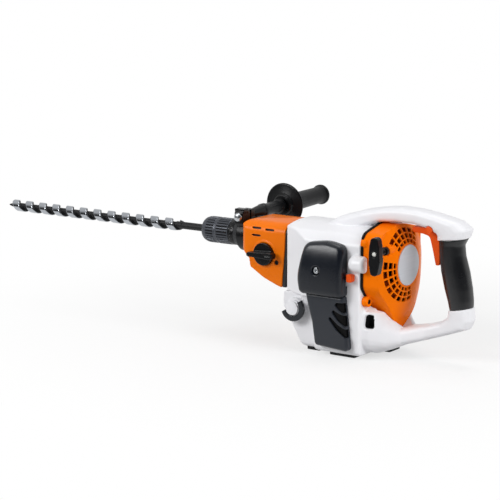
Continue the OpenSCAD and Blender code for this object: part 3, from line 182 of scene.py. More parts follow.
metals = {
    "brightSteel": {"hex": "C4C7CA", "shadeHex": "AEB2B6", "rough": 0.26, "grain": 0.10, "markMm": 2.0,
                    "draw": (1.0, 0.15, 0.15), "metal": 1.0},  # zinc-plated or ground steel: bright, streaked
    "castAlloy": {"hex": "8E9194", "shadeHex": "7C7F83", "rough": 0.46, "grain": 0.35, "markMm": 3.0,
                  "draw": (1, 1, 1), "metal": 1.0},  # die-cast alloy: grey, pebbled
    "darkAlloy": {"hex": "26272A", "shadeHex": "1E1F22", "rough": 0.44, "grain": 0.20, "markMm": 2.4,
                  "draw": (1, 1, 1), "metal": 0.3},  # painted casting: charcoal
    "sootSteel": {"hex": "0C0B0B", "shadeHex": "070707", "rough": 0.80, "grain": 0.30, "markMm": 3.0,
                  "draw": (1, 1, 1), "metal": 0.2},  # heat-blackened sheet
    "chuckSteel": {"hex": "4C4F56", "shadeHex": "42454B", "rough": 0.40, "grain": 0.10, "markMm": 2.2,
                   "draw": (1.0, 0.2, 0.2), "metal": 0.5},  # phosphated steel: dark grey with a dull shine
    "blackScrew": {"hex": "1C1D1F", "shadeHex": "151618", "rough": 0.42, "grain": 0.15, "markMm": 2.0,
                   "draw": (1, 1, 1), "metal": 0.6},  # blackened screws
    "satinBadge": {"hex": "C6C9CF", "shadeHex": "BCC0C6", "rough": 0.36, "grain": 0.05, "markMm": 2.2,
                   "draw": (1.0, 0.05, 1.0), "metal": 0.15},  # satin silvered plate: pale, brushed sideways
}
finish = {name: moulded(name, look) for name, look in plastics.items()}
finish.update({name: worked(name, look) for name, look in metals.items()})


# Snake auger steel: black from the forge in the gullets and on the shank, ground bright on the land
def groundFlight(name, look):
    material, tree = newMaterial(name)
    place = addNode(tree, "ShaderNodeTexCoord").outputs["Object"]
    axis = addNode(tree, "ShaderNodeMapping", None, {
        "Vector": place, "Location": (0, 0, -axisZ), "Scale": (0, 1, 1)})
    radius = addNode(tree, "ShaderNodeVectorMath", {"operation": "LENGTH"}, {0: axis.outputs[0]})
    land = addNode(tree, "ShaderNodeMapRange", {"interpolation_type": "SMOOTHSTEP"}, {
        "Value": radius.outputs["Value"],
        "From Min": look["groundFrom"] * mm, "From Max": look["groundTo"] * mm})
    drawn = addNode(tree, "ShaderNodeMapping", None, {"Vector": place, "Scale": look["draw"]})
    marks = addNode(tree, "ShaderNodeTexNoise", None, {
        "Vector": drawn.outputs[0], "Scale": 1000 / look["markMm"], "Detail": metalLook["markDetail"]})
    steel = addNode(tree, "ShaderNodeMix", {"data_type": "RGBA"}, {
        0: marks.outputs["Fac"], 6: hexColour(look["landHex"]), 7: hexColour(look["markHex"])})
    tint = addNode(tree, "ShaderNodeMix", {"data_type": "RGBA"}, {
        0: land.outputs[0], 6: hexColour(look["scaleHex"]), 7: steel.outputs[2]})
    gloss = addNode(tree, "ShaderNodeMapRange", None, {
        "Value": land.outputs[0], "To Min": look["scaleRough"], "To Max": look["landRough"]})
    bump = addNode(tree, "ShaderNodeBump", None, {
        "Strength": look["grain"], "Distance": metalLook["deepMm"] * mm, "Height": marks.outputs["Fac"]})
    shader = addNode(tree, "ShaderNodeBsdfPrincipled", None, {
        "Base Color": tint.outputs[2], "Metallic": land.outputs[0], "Roughness": gloss.outputs[0],
        "Normal": bump.outputs[0], "Specular IOR Level": look["scaleShine"]})
    closeMaterial(tree, shader)
    return material


finish["bitSteel"] = groundFlight("bitSteel", {
    "landHex": "BABEC3", "markHex": "A2A6AC", "scaleHex": "101113", "landRough": 0.13, "scaleRough": 0.5,
    "groundFrom": 8.7, "groundTo": 9.5, "markMm": 2.0, "draw": (0.3, 1.0, 1.0), "grain": 0.06, "scaleShine": 0.3})
slotFinish = {
    "bit_steel": "bitSteel", "chuck_steel": "chuckSteel", "chuck_black": "blackNylon",
    "bright_steel": "brightSteel", "cast_alloy": "castAlloy", "dark_alloy": "darkAlloy",
    "orange_shell": "orangeAbs", "orange_trigger": "triggerAbs", "white_shell": "whiteAbs",
    "grey_cover": "slateNylon", "black_plastic": "blackNylon", "black_rubber": "gripRubber",
    "badge_metal": "satinBadge", "filter_foam": "filterFoam", "rope_cord": "braidedRope",
    "screw_steel": "blackScrew", "ceramic": "glazedCeramic"}
slotOf = {part["node"]: part["material_slot"] for part in frame["record"]["subparts"]}
for node, piece in nodes.items():
    piece.data.materials.clear()
    piece.data.materials.append(finish[slotFinish[slotOf[node]]])
ownFinish = {"rubber_feet": "footRubber", "muffler": "sootSteel", "cap_bail": "slateNylon",
             "starter_rotor": "blackNylon", "handle_grip": "sideRubber"}
for node, name in ownFinish.items():
    nodes[node].data.materials[0] = finish[name]
print("materials made")


# A mesh made from a finished bmesh
def keepForm(name, form):
    mesh = bpy.data.meshes.new(name)
    form.to_mesh(mesh)
    form.free()
    return bpy.data.objects.new(name, mesh)


# What an extrusion drew: its points, and the edges it left open
def drawnVerts(drawn):
    return [item for item in drawn if isinstance(item, bmesh.types.BMVert)]


def openEdges(drawn):
    return [item for item in drawn if isinstance(item, bmesh.types.BMEdge) and item.is_boundary]


def settle(piece, node, material, body=None):
    scene.collection.objects.link(piece)
    piece.data.materials.clear()
    piece.data.materials.append(material)
    for face in piece.data.polygons:
        face.use_smooth = True
    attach(piece, body or nodes[node]["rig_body"])
    return piece


def applyModifiers(piece):
    bpy.context.view_layer.update()
    shown = piece.evaluated_get(bpy.context.evaluated_depsgraph_get())
    mesh = bpy.data.meshes.new_from_object(shown)
    piece.modifiers.clear()
    piece.data = mesh


weldMm = 0.001  # CAD meshes are closed on points nearer than this
flatAngle = 1  # faces within this many degrees are one face


# A shell cast from CAD solids: merged, filled with small voxels and softened, as a mould rounds every edge
def castShell(name, parts, material, look):
    form = bmesh.new()
    for part in parts:
        form.from_mesh(nodes[part].data)
    bmesh.ops.remove_doubles(form, verts=form.verts, dist=weldMm * mm)
    piece = keepForm(name, form)
    settle(piece, parts[0], material)
    voxels = piece.modifiers.new("voxels", "REMESH")
    voxels.mode = "VOXEL"
    voxels.voxel_size = look["voxelMm"] * mm
    voxels.use_smooth_shade = True
    soften = piece.modifiers.new("soften", "SMOOTH")
    soften.factor = 0.5
    soften.iterations = look["soften"]
    thin = piece.modifiers.new("thin", "DECIMATE")
    thin.ratio = look["keep"]
    applyModifiers(piece)
    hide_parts(*parts)
    print(name, len(piece.data.polygons), "faces")
    return piece


# A CAD solid with its flat faces rejoined and its edges broken
def easedCopy(name, node, material, look):
    form = bmesh.new()
    form.from_mesh(nodes[node].data)
    bmesh.ops.remove_doubles(form, verts=form.verts, dist=weldMm * mm)
    bmesh.ops.dissolve_limit(form, angle_limit=math.radians(flatAngle), verts=form.verts, edges=form.edges)
    piece = keepForm(name, form)
    settle(piece, node, material)
    ease = piece.modifiers.new("ease", "BEVEL")
    ease.width = look["easeMm"] * mm
    ease.segments = 2
    ease.limit_method = "ANGLE"
    ease.angle_limit = math.radians(look["angle"])
    ease.profile = 0.5
    applyModifiers(piece)
    piece.data.set_sharp_from_angle(angle=math.radians(look["angle"]))
    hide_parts(node)
    return piece


# Snake auger: one wide ground land wound round a dark core, run out to a point at the shank
bitLook = {"tip": -728.8, "start": -714.8, "stop": -341.0, "pitch": 30.9, "land": 9.95, "core": 4.9,
           "landHalf": 76, "edge": 16, "edgeDrop": 0.9, "flank": 12, "phase": -51, "segments": 60,
           "stepsPerTurn": 36, "runOut": 18, "sharpAngle": 38,
           "shankEnd": -249.0, "shank": 5.95, "shankRoot": 14, "shankSegments": 40,
           "leadRoot": (1, 4.4), "leadNeck": (3, 1.6), "leadPoint": 0.15, "leadSegments": 24}


def bitRadius(degrees):
    away = abs((degrees + 180) % 360 - 180)
    broken = min(max((away - bitLook["landHalf"]) / bitLook["edge"], 0), 1)
    share = min(max((away - bitLook["landHalf"] - bitLook["edge"]) / bitLook["flank"], 0), 1)
    rim = bitLook["land"] - bitLook["edgeDrop"] * broken
    return rim + (bitLook["core"] - rim) * share


def makeBit():
    form = bmesh.new()
    start, stop = bitLook["start"] * mm, bitLook["stop"] * mm
    bmesh.ops.create_circle(form, segments=bitLook["segments"], radius=1.0)
    for vert in form.verts:
        turn = math.atan2(vert.co.y, vert.co.x)
        radius = bitRadius(math.degrees(turn) + bitLook["phase"]) * mm
        vert.co = (start, radius * math.cos(turn), axisZ + radius * math.sin(turn))
    turns = (stop - start) * 1000 / bitLook["pitch"]
    steps = round(turns * bitLook["stepsPerTurn"])
    first = form.edges[:]
    swept = bmesh.ops.spin(form, geom=form.verts[:] + form.edges[:], cent=(start, 0, axisZ), axis=(1, 0, 0),
                           dvec=((stop - start) / steps, 0, 0), angle=math.tau * turns, steps=steps)
    last = [item for item in swept["geom_last"] if isinstance(item, bmesh.types.BMEdge)]
    for loop in (first, last):
        bmesh.ops.contextual_create(form, geom=loop)
    for vert in form.verts:  # the flight runs out towards the shank
        ahead = (stop - vert.co.x) / (bitLook["runOut"] * mm)
        if ahead < 1:
            y, z = vert.co.y, vert.co.z - axisZ
            radius = math.hypot(y, z)
            rise = (bitLook["land"] - bitLook["core"]) * max(ahead, 0) ** 0.5
            wanted = min(radius, (bitLook["core"] + rise) * mm)
            vert.co.y, vert.co.z = y * wanted / radius, axisZ + z * wanted / radius
    (rootIn, rootRadius), (neckIn, neckRadius) = bitLook["leadRoot"], bitLook["leadNeck"]
    turned = [(bitLook["start"] + rootIn, rootRadius), (bitLook["tip"] + neckIn, neckRadius),
              (bitLook["tip"], bitLook["leadPoint"])]
    for (x0, r0), (x1, r1) in zip(turned, turned[1:]):
        cone = bmesh.ops.create_cone(form, cap_ends=True, segments=bitLook["leadSegments"],
                                     radius1=r0 * mm, radius2=r1 * mm, depth=(x0 - x1) * mm)
        bmesh.ops.transform(form, verts=cone["verts"], matrix=Matrix.Translation(
            ((x0 + x1) / 2 * mm, 0, axisZ)) @ Matrix.Rotation(-math.pi / 2, 4, "Y"))
    rodFrom, rodTo = bitLook["stop"] - bitLook["shankRoot"], bitLook["shankEnd"]
    rod = bmesh.ops.create_cone(form, cap_ends=True, segments=bitLook["shankSegments"],
                                radius1=bitLook["shank"] * mm, radius2=bitLook["shank"] * mm,
                                depth=(rodTo - rodFrom) * mm)
    bmesh.ops.transform(form, verts=rod["verts"], matrix=Matrix.Translation(
        ((rodTo + rodFrom) / 2 * mm, 0, axisZ)) @ Matrix.Rotation(math.pi / 2, 4, "Y"))
    bmesh.ops.recalc_face_normals(form, faces=form.faces)
    piece = keepForm("snakeBit", form)
    settle(piece, "auger_bit", finish["bitSteel"])
    piece.data.set_sharp_from_angle(angle=math.radians(bitLook["sharpAngle"]))
    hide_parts("auger_bit")
    print("snakeBit", len(piece.data.polygons), "faces")


makeBit()


# A flat outline from its corners, each rounded by its own bevel
cornerSegments = 5


def outlineFace(form, corners, place):
    verts = [form.verts.new(place(across, up)) for across, up, roundness in corners]
    bmesh.ops.contextual_create(form, geom=verts)
    for vert, (across, up, roundness) in zip(verts, corners):
        bmesh.ops.bevel(form, geom=[vert], offset=roundness * mm, segments=cornerSegments, profile=0.5,
                        affect="VERTICES", material=-1)
    return form.faces[:]


# Chuck sleeve: a ring drawn along the spindle, pressed in between the grip ribs
chuckLook = {"mouth": -293.8, "ribs": 28, "ribShare": 0.55, "ribDeep": 1.2, "segments": 224,
             "wall": 0.4, "sharpAngle": 32,
             "ribbed": [(11.4, 25.8), (32.8, 54.0)], "grooveBelow": 20.7, "stations": [
    (3.0, 12.2, 0), (0.2, 12.6, 0), (0.1, 14.6, 0), (1.6, 17.4, 0), (4.2, 19.4, 0), (7.6, 20.7, 0), (11.0, 21.3, 0),
    (11.8, 21.4, 1), (25.4, 21.4, 1), (26.2, 21.4, 0), (27.0, 21.0, 0), (31.6, 21.0, 0), (32.4, 21.4, 0),
    (33.2, 21.4, 1), (53.6, 21.4, 1), (54.4, 21.4, 0), (55.6, 20.9, 0), (55.9, 20.0, 0), (55.9, 17.6, 0)]}


def makeChuckSleeve():
    form = bmesh.new()
    bmesh.ops.create_circle(form, segments=chuckLook["segments"], radius=1.0)
    rim = form.edges[:]
    for number, (along, radius, ribbed) in enumerate(chuckLook["stations"]):
        if number:
            drawn = bmesh.ops.extrude_edge_only(form, edges=rim)["geom"]
            rim = openEdges(drawn)
        for vert in {vert for edge in rim for vert in edge.verts}:
            turn = math.atan2(vert.co.z - axisZ, vert.co.y) if number else math.atan2(vert.co.y, vert.co.x)
            hollow = ribbed and (turn * chuckLook["ribs"] / math.tau) % 1 > chuckLook["ribShare"]
            reach = (radius - (chuckLook["ribDeep"] if hollow else 0)) * mm
            vert.co = ((chuckLook["mouth"] + along) * mm, reach * math.cos(turn), axisZ + reach * math.sin(turn))
    bmesh.ops.recalc_face_normals(form, faces=form.faces)
    piece = keepForm("chuckSleeve", form)
    settle(piece, "chuck_sleeve", finish["chuckSteel"])
    wall = piece.modifiers.new("wall", "SOLIDIFY")
    wall.thickness = chuckLook["wall"] * mm
    wall.offset = -1
    applyModifiers(piece)
    piece.data.set_sharp_from_angle(angle=math.radians(chuckLook["sharpAngle"]))
    piece.data.materials.append(finish["shadeBlack"])
    for face in piece.data.polygons:  # painted shade: the grooves between the ribs get the near-black material
        along = face.center.x / mm - chuckLook["mouth"]
        radius = math.hypot(face.center.y, face.center.z - axisZ) / mm
        if radius < chuckLook["grooveBelow"] and any(low < along < high for low, high in chuckLook["ribbed"]):
            face.material_index = 1
    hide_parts("chuck_sleeve")


makeChuckSleeve()

# Black tray in the opening of the lower arm: painted shade that stands in for the dark hollow behind the opening
trayLook = {"corners": [(44.2, 51.2, 4), (59.8, 51.2, 4), (57.8, 72.8, 4), (46.2, 72.8, 6)],
            "floorAt": -42.6, "lipLeft": -55.2, "lipRight": -51.4, "wall": 0.8}


def makeTray():
    form = bmesh.new()
    outlineFace(form, trayLook["corners"], lambda across, up: Vector((across, trayLook["floorAt"], up)) * mm)
    edges = [edge for edge in form.edges if edge.is_boundary]
    drawn = bmesh.ops.extrude_edge_only(form, edges=edges)["geom"]
    left, right = trayLook["corners"][0][0], trayLook["corners"][1][0]
    for vert in drawnVerts(drawn):  # the lip follows the arm's slope
        along = (vert.co.x / mm - left) / (right - left)
        vert.co.y = (trayLook["lipLeft"] + (trayLook["lipRight"] - trayLook["lipLeft"]) * along) * mm
    bmesh.ops.recalc_face_normals(form, faces=form.faces)
    bmesh.ops.solidify(form, geom=form.faces[:], thickness=trayLook["wall"] * mm)
    settle(keepForm("portShadeTray", form), "lower_handle_arm", finish["shadeBlack"])


makeTray()

# Painted shadow gap: a black band under the starter cover's edge stands in for the shadow between cover and body
gapLook = {"from": 40.1, "deep": 4.0, "band": 6.0, "corners": [
    (0, 36.5, 7), (47.5, 66.2, 13), (63.7, 107.5, 6), (63.7, 196.4, 13),
    (0, 210.8, 13.7), (-63.7, 196.4, 13), (-63.7, 113.2, 5)]}


def makeShadowGap():
    form = bmesh.new()
    faces = outlineFace(form, gapLook["corners"], lambda across, up: Vector((gapLook["from"], across, up)) * mm)
    bmesh.ops.inset_region(form, faces=faces, thickness=gapLook["band"] * mm, use_boundary=True)
    bmesh.ops.delete(form, geom=[max(form.faces, key=lambda face: face.calc_area())], context="FACES")
    band = form.faces[:]
    drawn = bmesh.ops.extrude_face_region(form, geom=band)["geom"]
    bmesh.ops.translate(form, verts=drawnVerts(drawn), vec=(gapLook["deep"] * mm, 0, 0))
    bmesh.ops.recalc_face_normals(form, faces=form.faces)
    settle(keepForm("starterShadowGap", form), "starter_cover", finish["shadeBlack"])


makeShadowGap()

# Painted shade: a black cup in the filter cover's screw well darkens its hollow
wellLook = {"at": (-26.0, 137.0), "mouth": -86.4, "bottom": -81.3, "radius": 7.6, "hole": 4.7, "wall": 0.3, "steps": 48}


def makeWellShade():
    form = bmesh.new()
    x, z = (value * mm for value in wellLook["at"])
    profile = [(wellLook[radius], wellLook[y]) for radius, y in (
        ("radius", "mouth"), ("radius", "bottom"), ("hole", "bottom"))]
    verts = [form.verts.new((x + radius * mm, y * mm, z)) for radius, y in profile]
    edges = [form.edges.new(pair) for pair in zip(verts, verts[1:])]
    bmesh.ops.spin(form, geom=verts + edges, cent=(x, 0, z), axis=(0, 1, 0), angle=math.tau,
                   steps=wellLook["steps"], use_merge=True)
    bmesh.ops.recalc_face_normals(form, faces=form.faces)
    bmesh.ops.solidify(form, geom=form.faces[:], thickness=wellLook["wall"] * mm)
    settle(keepForm("wellShade", form), "filter_cover", finish["shadeBlack"])


makeWellShade()

# Painted shade: a black block behind the vents of the lower guard stands in for the dark inside
ventLook = {"corners": [(-30, 22.2, 4), (23.2, 18.2, 4), (13.8, 94, 2), (-47.6, 94, 2), (-36.4, 56.4, 8)],
            "from": -64.3, "to": -73.2}


def makeVentShade():
    form = bmesh.new()
    faces = outlineFace(form, ventLook["corners"], lambda across, up: Vector((across, ventLook["from"], up)) * mm)
    drawn = bmesh.ops.extrude_face_region(form, geom=faces)["geom"]
    bmesh.ops.translate(form, verts=drawnVerts(drawn), vec=(0, (ventLook["to"] - ventLook["from"]) * mm, 0))
    bmesh.ops.recalc_face_normals(form, faces=form.faces)
    settle(keepForm("ventShade", form), "muffler_guard", finish["shadeBlack"])


makeVentShade()
print("new pieces made")

whiteLook = {"voxelMm": 1.3, "soften": 7, "keep": 0.32}
whiteBody = castShell("whiteBody", ["engine_housing", "upper_handle_arm", "lower_handle_arm"],
                      finish["whiteAbs"], whiteLook)
rootLook = {"from": 40.5, "over": 6.0, "fade": 95.0, "faded": 140.0, "low": 75.0, "high": 86.0, "above": 110.0,
            "drop": 8.0, "port": -66.0, "portOver": 12.0}
for vert in whiteBody.data.vertices:  # the lower arm's root sits below the starter cover's edge
    x, y, z = vert.co / mm
    if rootLook["low"] < z < rootLook["above"] and x > rootLook["from"]:
        begun = min((x - rootLook["from"]) / rootLook["over"], 1)
        left = min(max((rootLook["faded"] - x) / (rootLook["faded"] - rootLook["fade"]), 0), 1)
        inside = min(max((y - rootLook["port"]) / rootLook["portOver"], 0), 1)
        raised = min((z - rootLook["low"]) / (rootLook["high"] - rootLook["low"]), 1)
        vert.co.z -= rootLook["drop"] * begun * left * inside * raised * mm
tankLook = {"voxelMm": 1.2, "soften": 6, "keep": 0.5}
castShell("whiteTank", ["fuel_tank"], finish["whiteAbs"], tankLook)
coverLook = {"voxelMm": 0.9, "soften": 4, "keep": 0.35}
castShell("gearCoverShell", ["gear_cover"], finish["orangeAbs"], coverLook)
starterLook = {"voxelMm": 0.9, "soften": 4, "keep": 0.35}
# the starter cover gets the orange with painted light
starterShell = castShell("starterShell", ["starter_cover"], finish["litOrangeAbs"], starterLook)

# The starter cover's face: a cone from the badge out to the shield's outline, its vents cut between thin ribs
faceLook = {"centre": 145.0, "top": 86.0, "edge": 71.5, "rim": 33.5, "bend": 1.15, "wall": 2.4, "steps": 120,
            "skirtFrom": 58.0, "seat": 40.5, "skirtRing": 10, "outRing": 59, "spare": 0.15,
            "rimBevel": 4.5, "rimAngle": 0.6,
            "evenTurns": range(-32, 33, 8), "sideReach": 62, "tailReach": 44, "tailRise": 2, "tailBend": 0.7,
            "sharpAngle": 40, "bossAt": (76, -39.6, 173), "bossRadius": 7.5, "bossLong": 20, "bossSegments": 32,
            "radii": [26, 30.2, 34.4, 37, 39.8, 41.8, 44, 46.2, 48.4, 50.4, 52.6, 54.8, 57, 59,
                      63, 69, 76, 84, 92, 100],
            "vents": [(34.4, 39.8), (41.8, 48.4), (50.4, 57)], "spans": [(168, 288), (51, 141)], "cell": 15, "rib": 3,
            "corners": [(0, 39, 7), (46, 68, 13), (62, 108, 5.8), (62, 195, 12.8),
                        (0, 209, 13.5), (-62, 195, 12.8), (-62, 114, 5)]}


def shieldReach(outline, across, up):  # how far the outline lies from the middle, that way
    reach = 0.0
    for (y0, z0), (y1, z1) in zip(outline, outline[1:] + outline[:1]):
        cross = across * (z1 - z0) - up * (y1 - y0)
        if abs(cross) > 1e-9:
            far = (y0 * (z1 - z0) - z0 * (y1 - y0)) / cross
            along = (y0 * up - z0 * across) / cross
            if far > 0 and -1e-6 <= along <= 1 + 1e-6:
                reach = max(reach, far)
    return reach


def isVent(radius, degrees):
    ringed = any(low < radius < high for low, high in faceLook["vents"])
    for first, last in faceLook["spans"]:
        if ringed and first < degrees < last:
            return (degrees - first) % faceLook["cell"] < faceLook["cell"] - faceLook["rib"]
    return False


def makeStarterFace():
    flat = bmesh.new()
    face = outlineFace(flat, faceLook["corners"],
                       lambda across, up: Vector((across, up - faceLook["centre"], 0)) * mm)[0]
    outline = [(loop.vert.co.x / mm, loop.vert.co.y / mm) for loop in face.loops]
    flat.free()
    form = bmesh.new()
    lastRing, outRing = faceLook["radii"][-1], faceLook["outRing"]
    verts = [form.verts.new((0, radius, 0)) for radius in faceLook["radii"] + [lastRing + faceLook["skirtRing"]]]
    edges = [form.edges.new(pair) for pair in zip(verts, verts[1:])]
    bmesh.ops.spin(form, geom=verts + edges, cent=(0, 0, 0), axis=(1, 0, 0), angle=math.tau,
                   steps=faceLook["steps"], use_merge=True)
    gone = []
    for face in form.faces:
        middle = face.calc_center_median()
        degrees = math.degrees(math.atan2(middle.z, middle.y)) % 360
        if isVent(math.hypot(middle.y, middle.z), degrees):
            gone.append(face)
    bmesh.ops.delete(form, geom=gone, context="FACES")
    evenTurns = [(math.cos(math.radians(turn)), math.sin(math.radians(turn))) for turn in faceLook["evenTurns"]]
    for vert in form.verts:
        radius = math.hypot(vert.co.y, vert.co.z)
        across, up = vert.co.y / radius, vert.co.z / radius
        reach = shieldReach(outline, across, up) + faceLook["spare"]
        real = radius
        if radius > outRing:
            real = outRing + min((radius - outRing) / (lastRing - outRing), 1) * (reach - outRing)
        even = sum(shieldReach(outline, across * cos - up * sin, across * sin + up * cos)
                   for cos, sin in evenTurns) / len(evenTurns)
        share = min(max(real - faceLook["rim"], 0) / (even - faceLook["rim"]), 1)
        tail = (even - faceLook["sideReach"]) / faceLook["tailReach"]  # fuller and a little higher towards the point
        fall = faceLook["top"] - faceLook["edge"] - faceLook["tailRise"] * tail
        high = faceLook["top"] - fall * share ** (faceLook["bend"] + faceLook["tailBend"] * tail)
        if radius > lastRing + 1:
            high = faceLook["seat"]
        vert.co = (high * mm, across * real * mm, up * real * mm + faceLook["centre"] * mm)
    corner = [edge for edge in form.edges
              if len(edge.link_faces) == 2 and edge.calc_face_angle() > faceLook["rimAngle"]]
    bmesh.ops.bevel(form, geom=corner, offset=faceLook["rimBevel"] * mm, offset_type="OFFSET", affect="EDGES",
                    segments=4, profile=0.5, material=-1)
    bmesh.ops.recalc_face_normals(form, faces=form.faces)
    bmesh.ops.solidify(form, geom=form.faces[:], thickness=faceLook["wall"] * mm)
    boss = bmesh.ops.create_cone(form, cap_ends=True, segments=faceLook["bossSegments"],
                                 radius1=faceLook["bossRadius"] * mm, radius2=faceLook["bossRadius"] * mm,
                                 depth=faceLook["bossLong"] * mm)
    bmesh.ops.transform(form, verts=boss["verts"], matrix=Matrix.Translation(
        Vector(faceLook["bossAt"]) * mm) @ Matrix.Rotation(math.pi / 2, 4, "X"))
    bmesh.ops.recalc_face_normals(form, faces=form.faces)
    piece = keepForm("starterFace", form)
    settle(piece, "starter_cover", finish["litOrangeAbs"])
    piece.data.set_sharp_from_angle(angle=math.radians(faceLook["sharpAngle"]))
    print("starterFace", len(piece.data.polygons), "faces")


# Painted shade: a dark orange ring behind the vents stands in for the shade inside the cover, open in the middle for
# the recoil spring
shadeLook = {"at": 63.0, "inner": 27.0, "outer": 57.0, "thick": 0.8, "steps": 64}


def makeShade():
    form = bmesh.new()
    centre = Vector((shadeLook["at"], 0, faceLook["centre"])) * mm
    verts = [form.verts.new(centre + Vector((0, shadeLook[edge] * mm, 0))) for edge in ("inner", "outer")]
    edges = [form.edges.new(verts)]
    bmesh.ops.spin(form, geom=verts + edges, cent=centre, axis=(1, 0, 0), angle=math.tau,
                   steps=shadeLook["steps"], use_merge=True)
    bmesh.ops.recalc_face_normals(form, faces=form.faces)
    bmesh.ops.solidify(form, geom=form.faces[:], thickness=shadeLook["thick"] * mm)
    settle(keepForm("starterShade", form), "starter_cover", finish["shadedAbs"])


form = bmesh.new()
form.from_mesh(starterShell.data)
front = [vert for vert in form.verts if vert.co.x > faceLook["skirtFrom"] * mm]  # skirt and ears stay
bmesh.ops.delete(form, geom=front, context="VERTS")
form.to_mesh(starterShell.data)
form.free()
makeStarterFace()
makeShade()
filterLook = {"voxelMm": 0.9, "soften": 5, "keep": 0.4}
filterShell = castShell("filterShell", ["filter_cover"], finish["slateNylon"], filterLook)
crownLook = {"middle": (-22.5, 137.0), "half": (41.0, 42.0), "topDrop": 7.0, "topBend": 2.2, "sideDrop": 2.0,
             "sideBend": 3, "lowDrop": 1.0, "lowBend": 2, "behind": -70.0, "over": 10.0}
for vert in filterShell.data.vertices:  # the face falls away towards its top and sides
    x, y, z = vert.co / mm
    across = abs(x - crownLook["middle"][0]) / crownLook["half"][0]
    up = (z - crownLook["middle"][1]) / crownLook["half"][1]
    drop = crownLook["topDrop"] * max(up, 0) ** crownLook["topBend"]
    drop += crownLook["sideDrop"] * across ** crownLook["sideBend"]
    drop += crownLook["lowDrop"] * max(-up, 0) ** crownLook["lowBend"]
    vert.co.y += drop * min(max((crownLook["behind"] - y) / crownLook["over"], 0), 1) * mm

# Foam pad inside the crowned cover
padLook = {"low": (-40.5, -78.5, 147.5), "high": (3.5, -64.2, 168.5), "round": 2.0}
form = bmesh.new()
bmesh.ops.create_cube(form, size=1.0)
padLow, padHigh = Vector(padLook["low"]) * mm, Vector(padLook["high"]) * mm
bmesh.ops.scale(form, verts=form.verts, vec=padHigh - padLow)
bmesh.ops.translate(form, verts=form.verts, vec=(padHigh + padLow) / 2)
bmesh.ops.bevel(form, geom=form.edges[:], offset=padLook["round"] * mm, offset_type="OFFSET", affect="EDGES",
                segments=3, profile=0.5, material=-1)
foamPad = keepForm("foamPad", form)
settle(foamPad, "air_filter", finish["filterFoam"])
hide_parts("air_filter")
guardLook = {"voxelMm": 0.8, "soften": 4, "keep": 0.4, "rise": 1.4, "riseFrom": 88.0, "riseOver": 6.0}
mufflerShell = castShell("mufflerShell", ["muffler_guard"], finish["guardNylon"], guardLook)
for vert in mufflerShell.data.vertices:  # its top edge closes on the filter cover
    raised = min(max((vert.co.z / mm - guardLook["riseFrom"]) / guardLook["riseOver"], 0), 1)
    vert.co.z += guardLook["rise"] * raised * mm
gripLook = {"voxelMm": 1.0, "soften": 8, "keep": 0.5}
smallLook = {"voxelMm": 0.6, "soften": 4, "keep": 0.5}
castShell("rearGripSleeve", ["rear_grip"], finish["gripRubber"], gripLook)
for name, node, material in (
        ("triggerBlade", "trigger", "triggerAbs"), ("selectorBar", "selector_knob", "blackNylon"),
        ("pullGrip", "starter_grip", "blackNylon"), ("chokeKnob", "choke_lever", "triggerAbs"),
        ("capBail", "cap_bail", "slateNylon"), ("clampCollar", "handle_collar", "blackNylon")):
    castShell(name, [node], finish[material], smallLook)
print("shells cast")

easedLook = {
    "handle_stem": {"name": "handleStem", "easeMm": 0.7}, "handle_guard": {"name": "handGuard", "easeMm": 0.5},
    "handle_grip": {"name": "sideGrip", "easeMm": 1.0}, "collar_bolt": {"name": "collarBolt", "easeMm": 0.5},
    "chuck_ring": {"name": "chuckRing", "easeMm": 0.5}, "fuel_cap": {"name": "fuelCap", "easeMm": 0.6},
    "rubber_feet": {"name": "footStrips", "easeMm": 0.8}, "rope_bush": {"name": "ropeBush", "easeMm": 0.5},
    "badge_plate": {"name": "badgePlate", "easeMm": 0.3, "widen": 1.12},
    "filter_screw": {"name": "filterScrew", "easeMm": 0.3},
    "gear_cover_screws": {"name": "coverScrews", "easeMm": 0.3},
    "starter_screws": {"name": "starterScrews", "easeMm": 0.3},
    "trigger_pin": {"name": "triggerPin", "easeMm": 0.6}, "gear_case": {"name": "gearCase", "easeMm": 0.4},
}
easeAngle = 32  # edges sharper than this are broken
for node, look in easedLook.items():
    eased = easedCopy(look["name"], node, nodes[node].data.materials[0], {"easeMm": look["easeMm"], "angle": easeAngle})
    if "widen" in look:  # the badge reaches the inner row of vents
        for vert in eased.data.vertices:
            vert.co.y *= look["widen"]
            vert.co.z = crankZ + (vert.co.z - crankZ) * look["widen"]
print("edges eased")

# Camera, solved from the photograph
cameraLook = {"at": (1.4310, -2.3402, 0.6664), "lens": 129.6, "tilt": 79.5, "turn": 35.0, "sensor": 36, "clip": 60}
camera = bpy.data.objects.new("camera", bpy.data.cameras.new("camera"))
scene.collection.objects.link(camera)
scene.camera = camera
camera.data.lens = cameraLook["lens"]
camera.data.sensor_width = cameraLook["sensor"]
camera.data.clip_end = cameraLook["clip"]
camera.location = cameraLook["at"]
camera.rotation_euler = (math.radians(cameraLook["tilt"]), 0, math.radians(cameraLook["turn"]))

# Starter rope: knotted in the grip and drawn out of the bush with it
ropeLook = {"x": 76.0, "z": 173.0, "radius": 1.7, "segments": 16, "inner": -40.5, "outer": -83.5, "rings": 24,
            "knot": 3.4, "leaves": -44.0, "held": -72.0}


def ropePoint(along):
    return Vector((ropeLook["x"], along, ropeLook["z"])) * mm


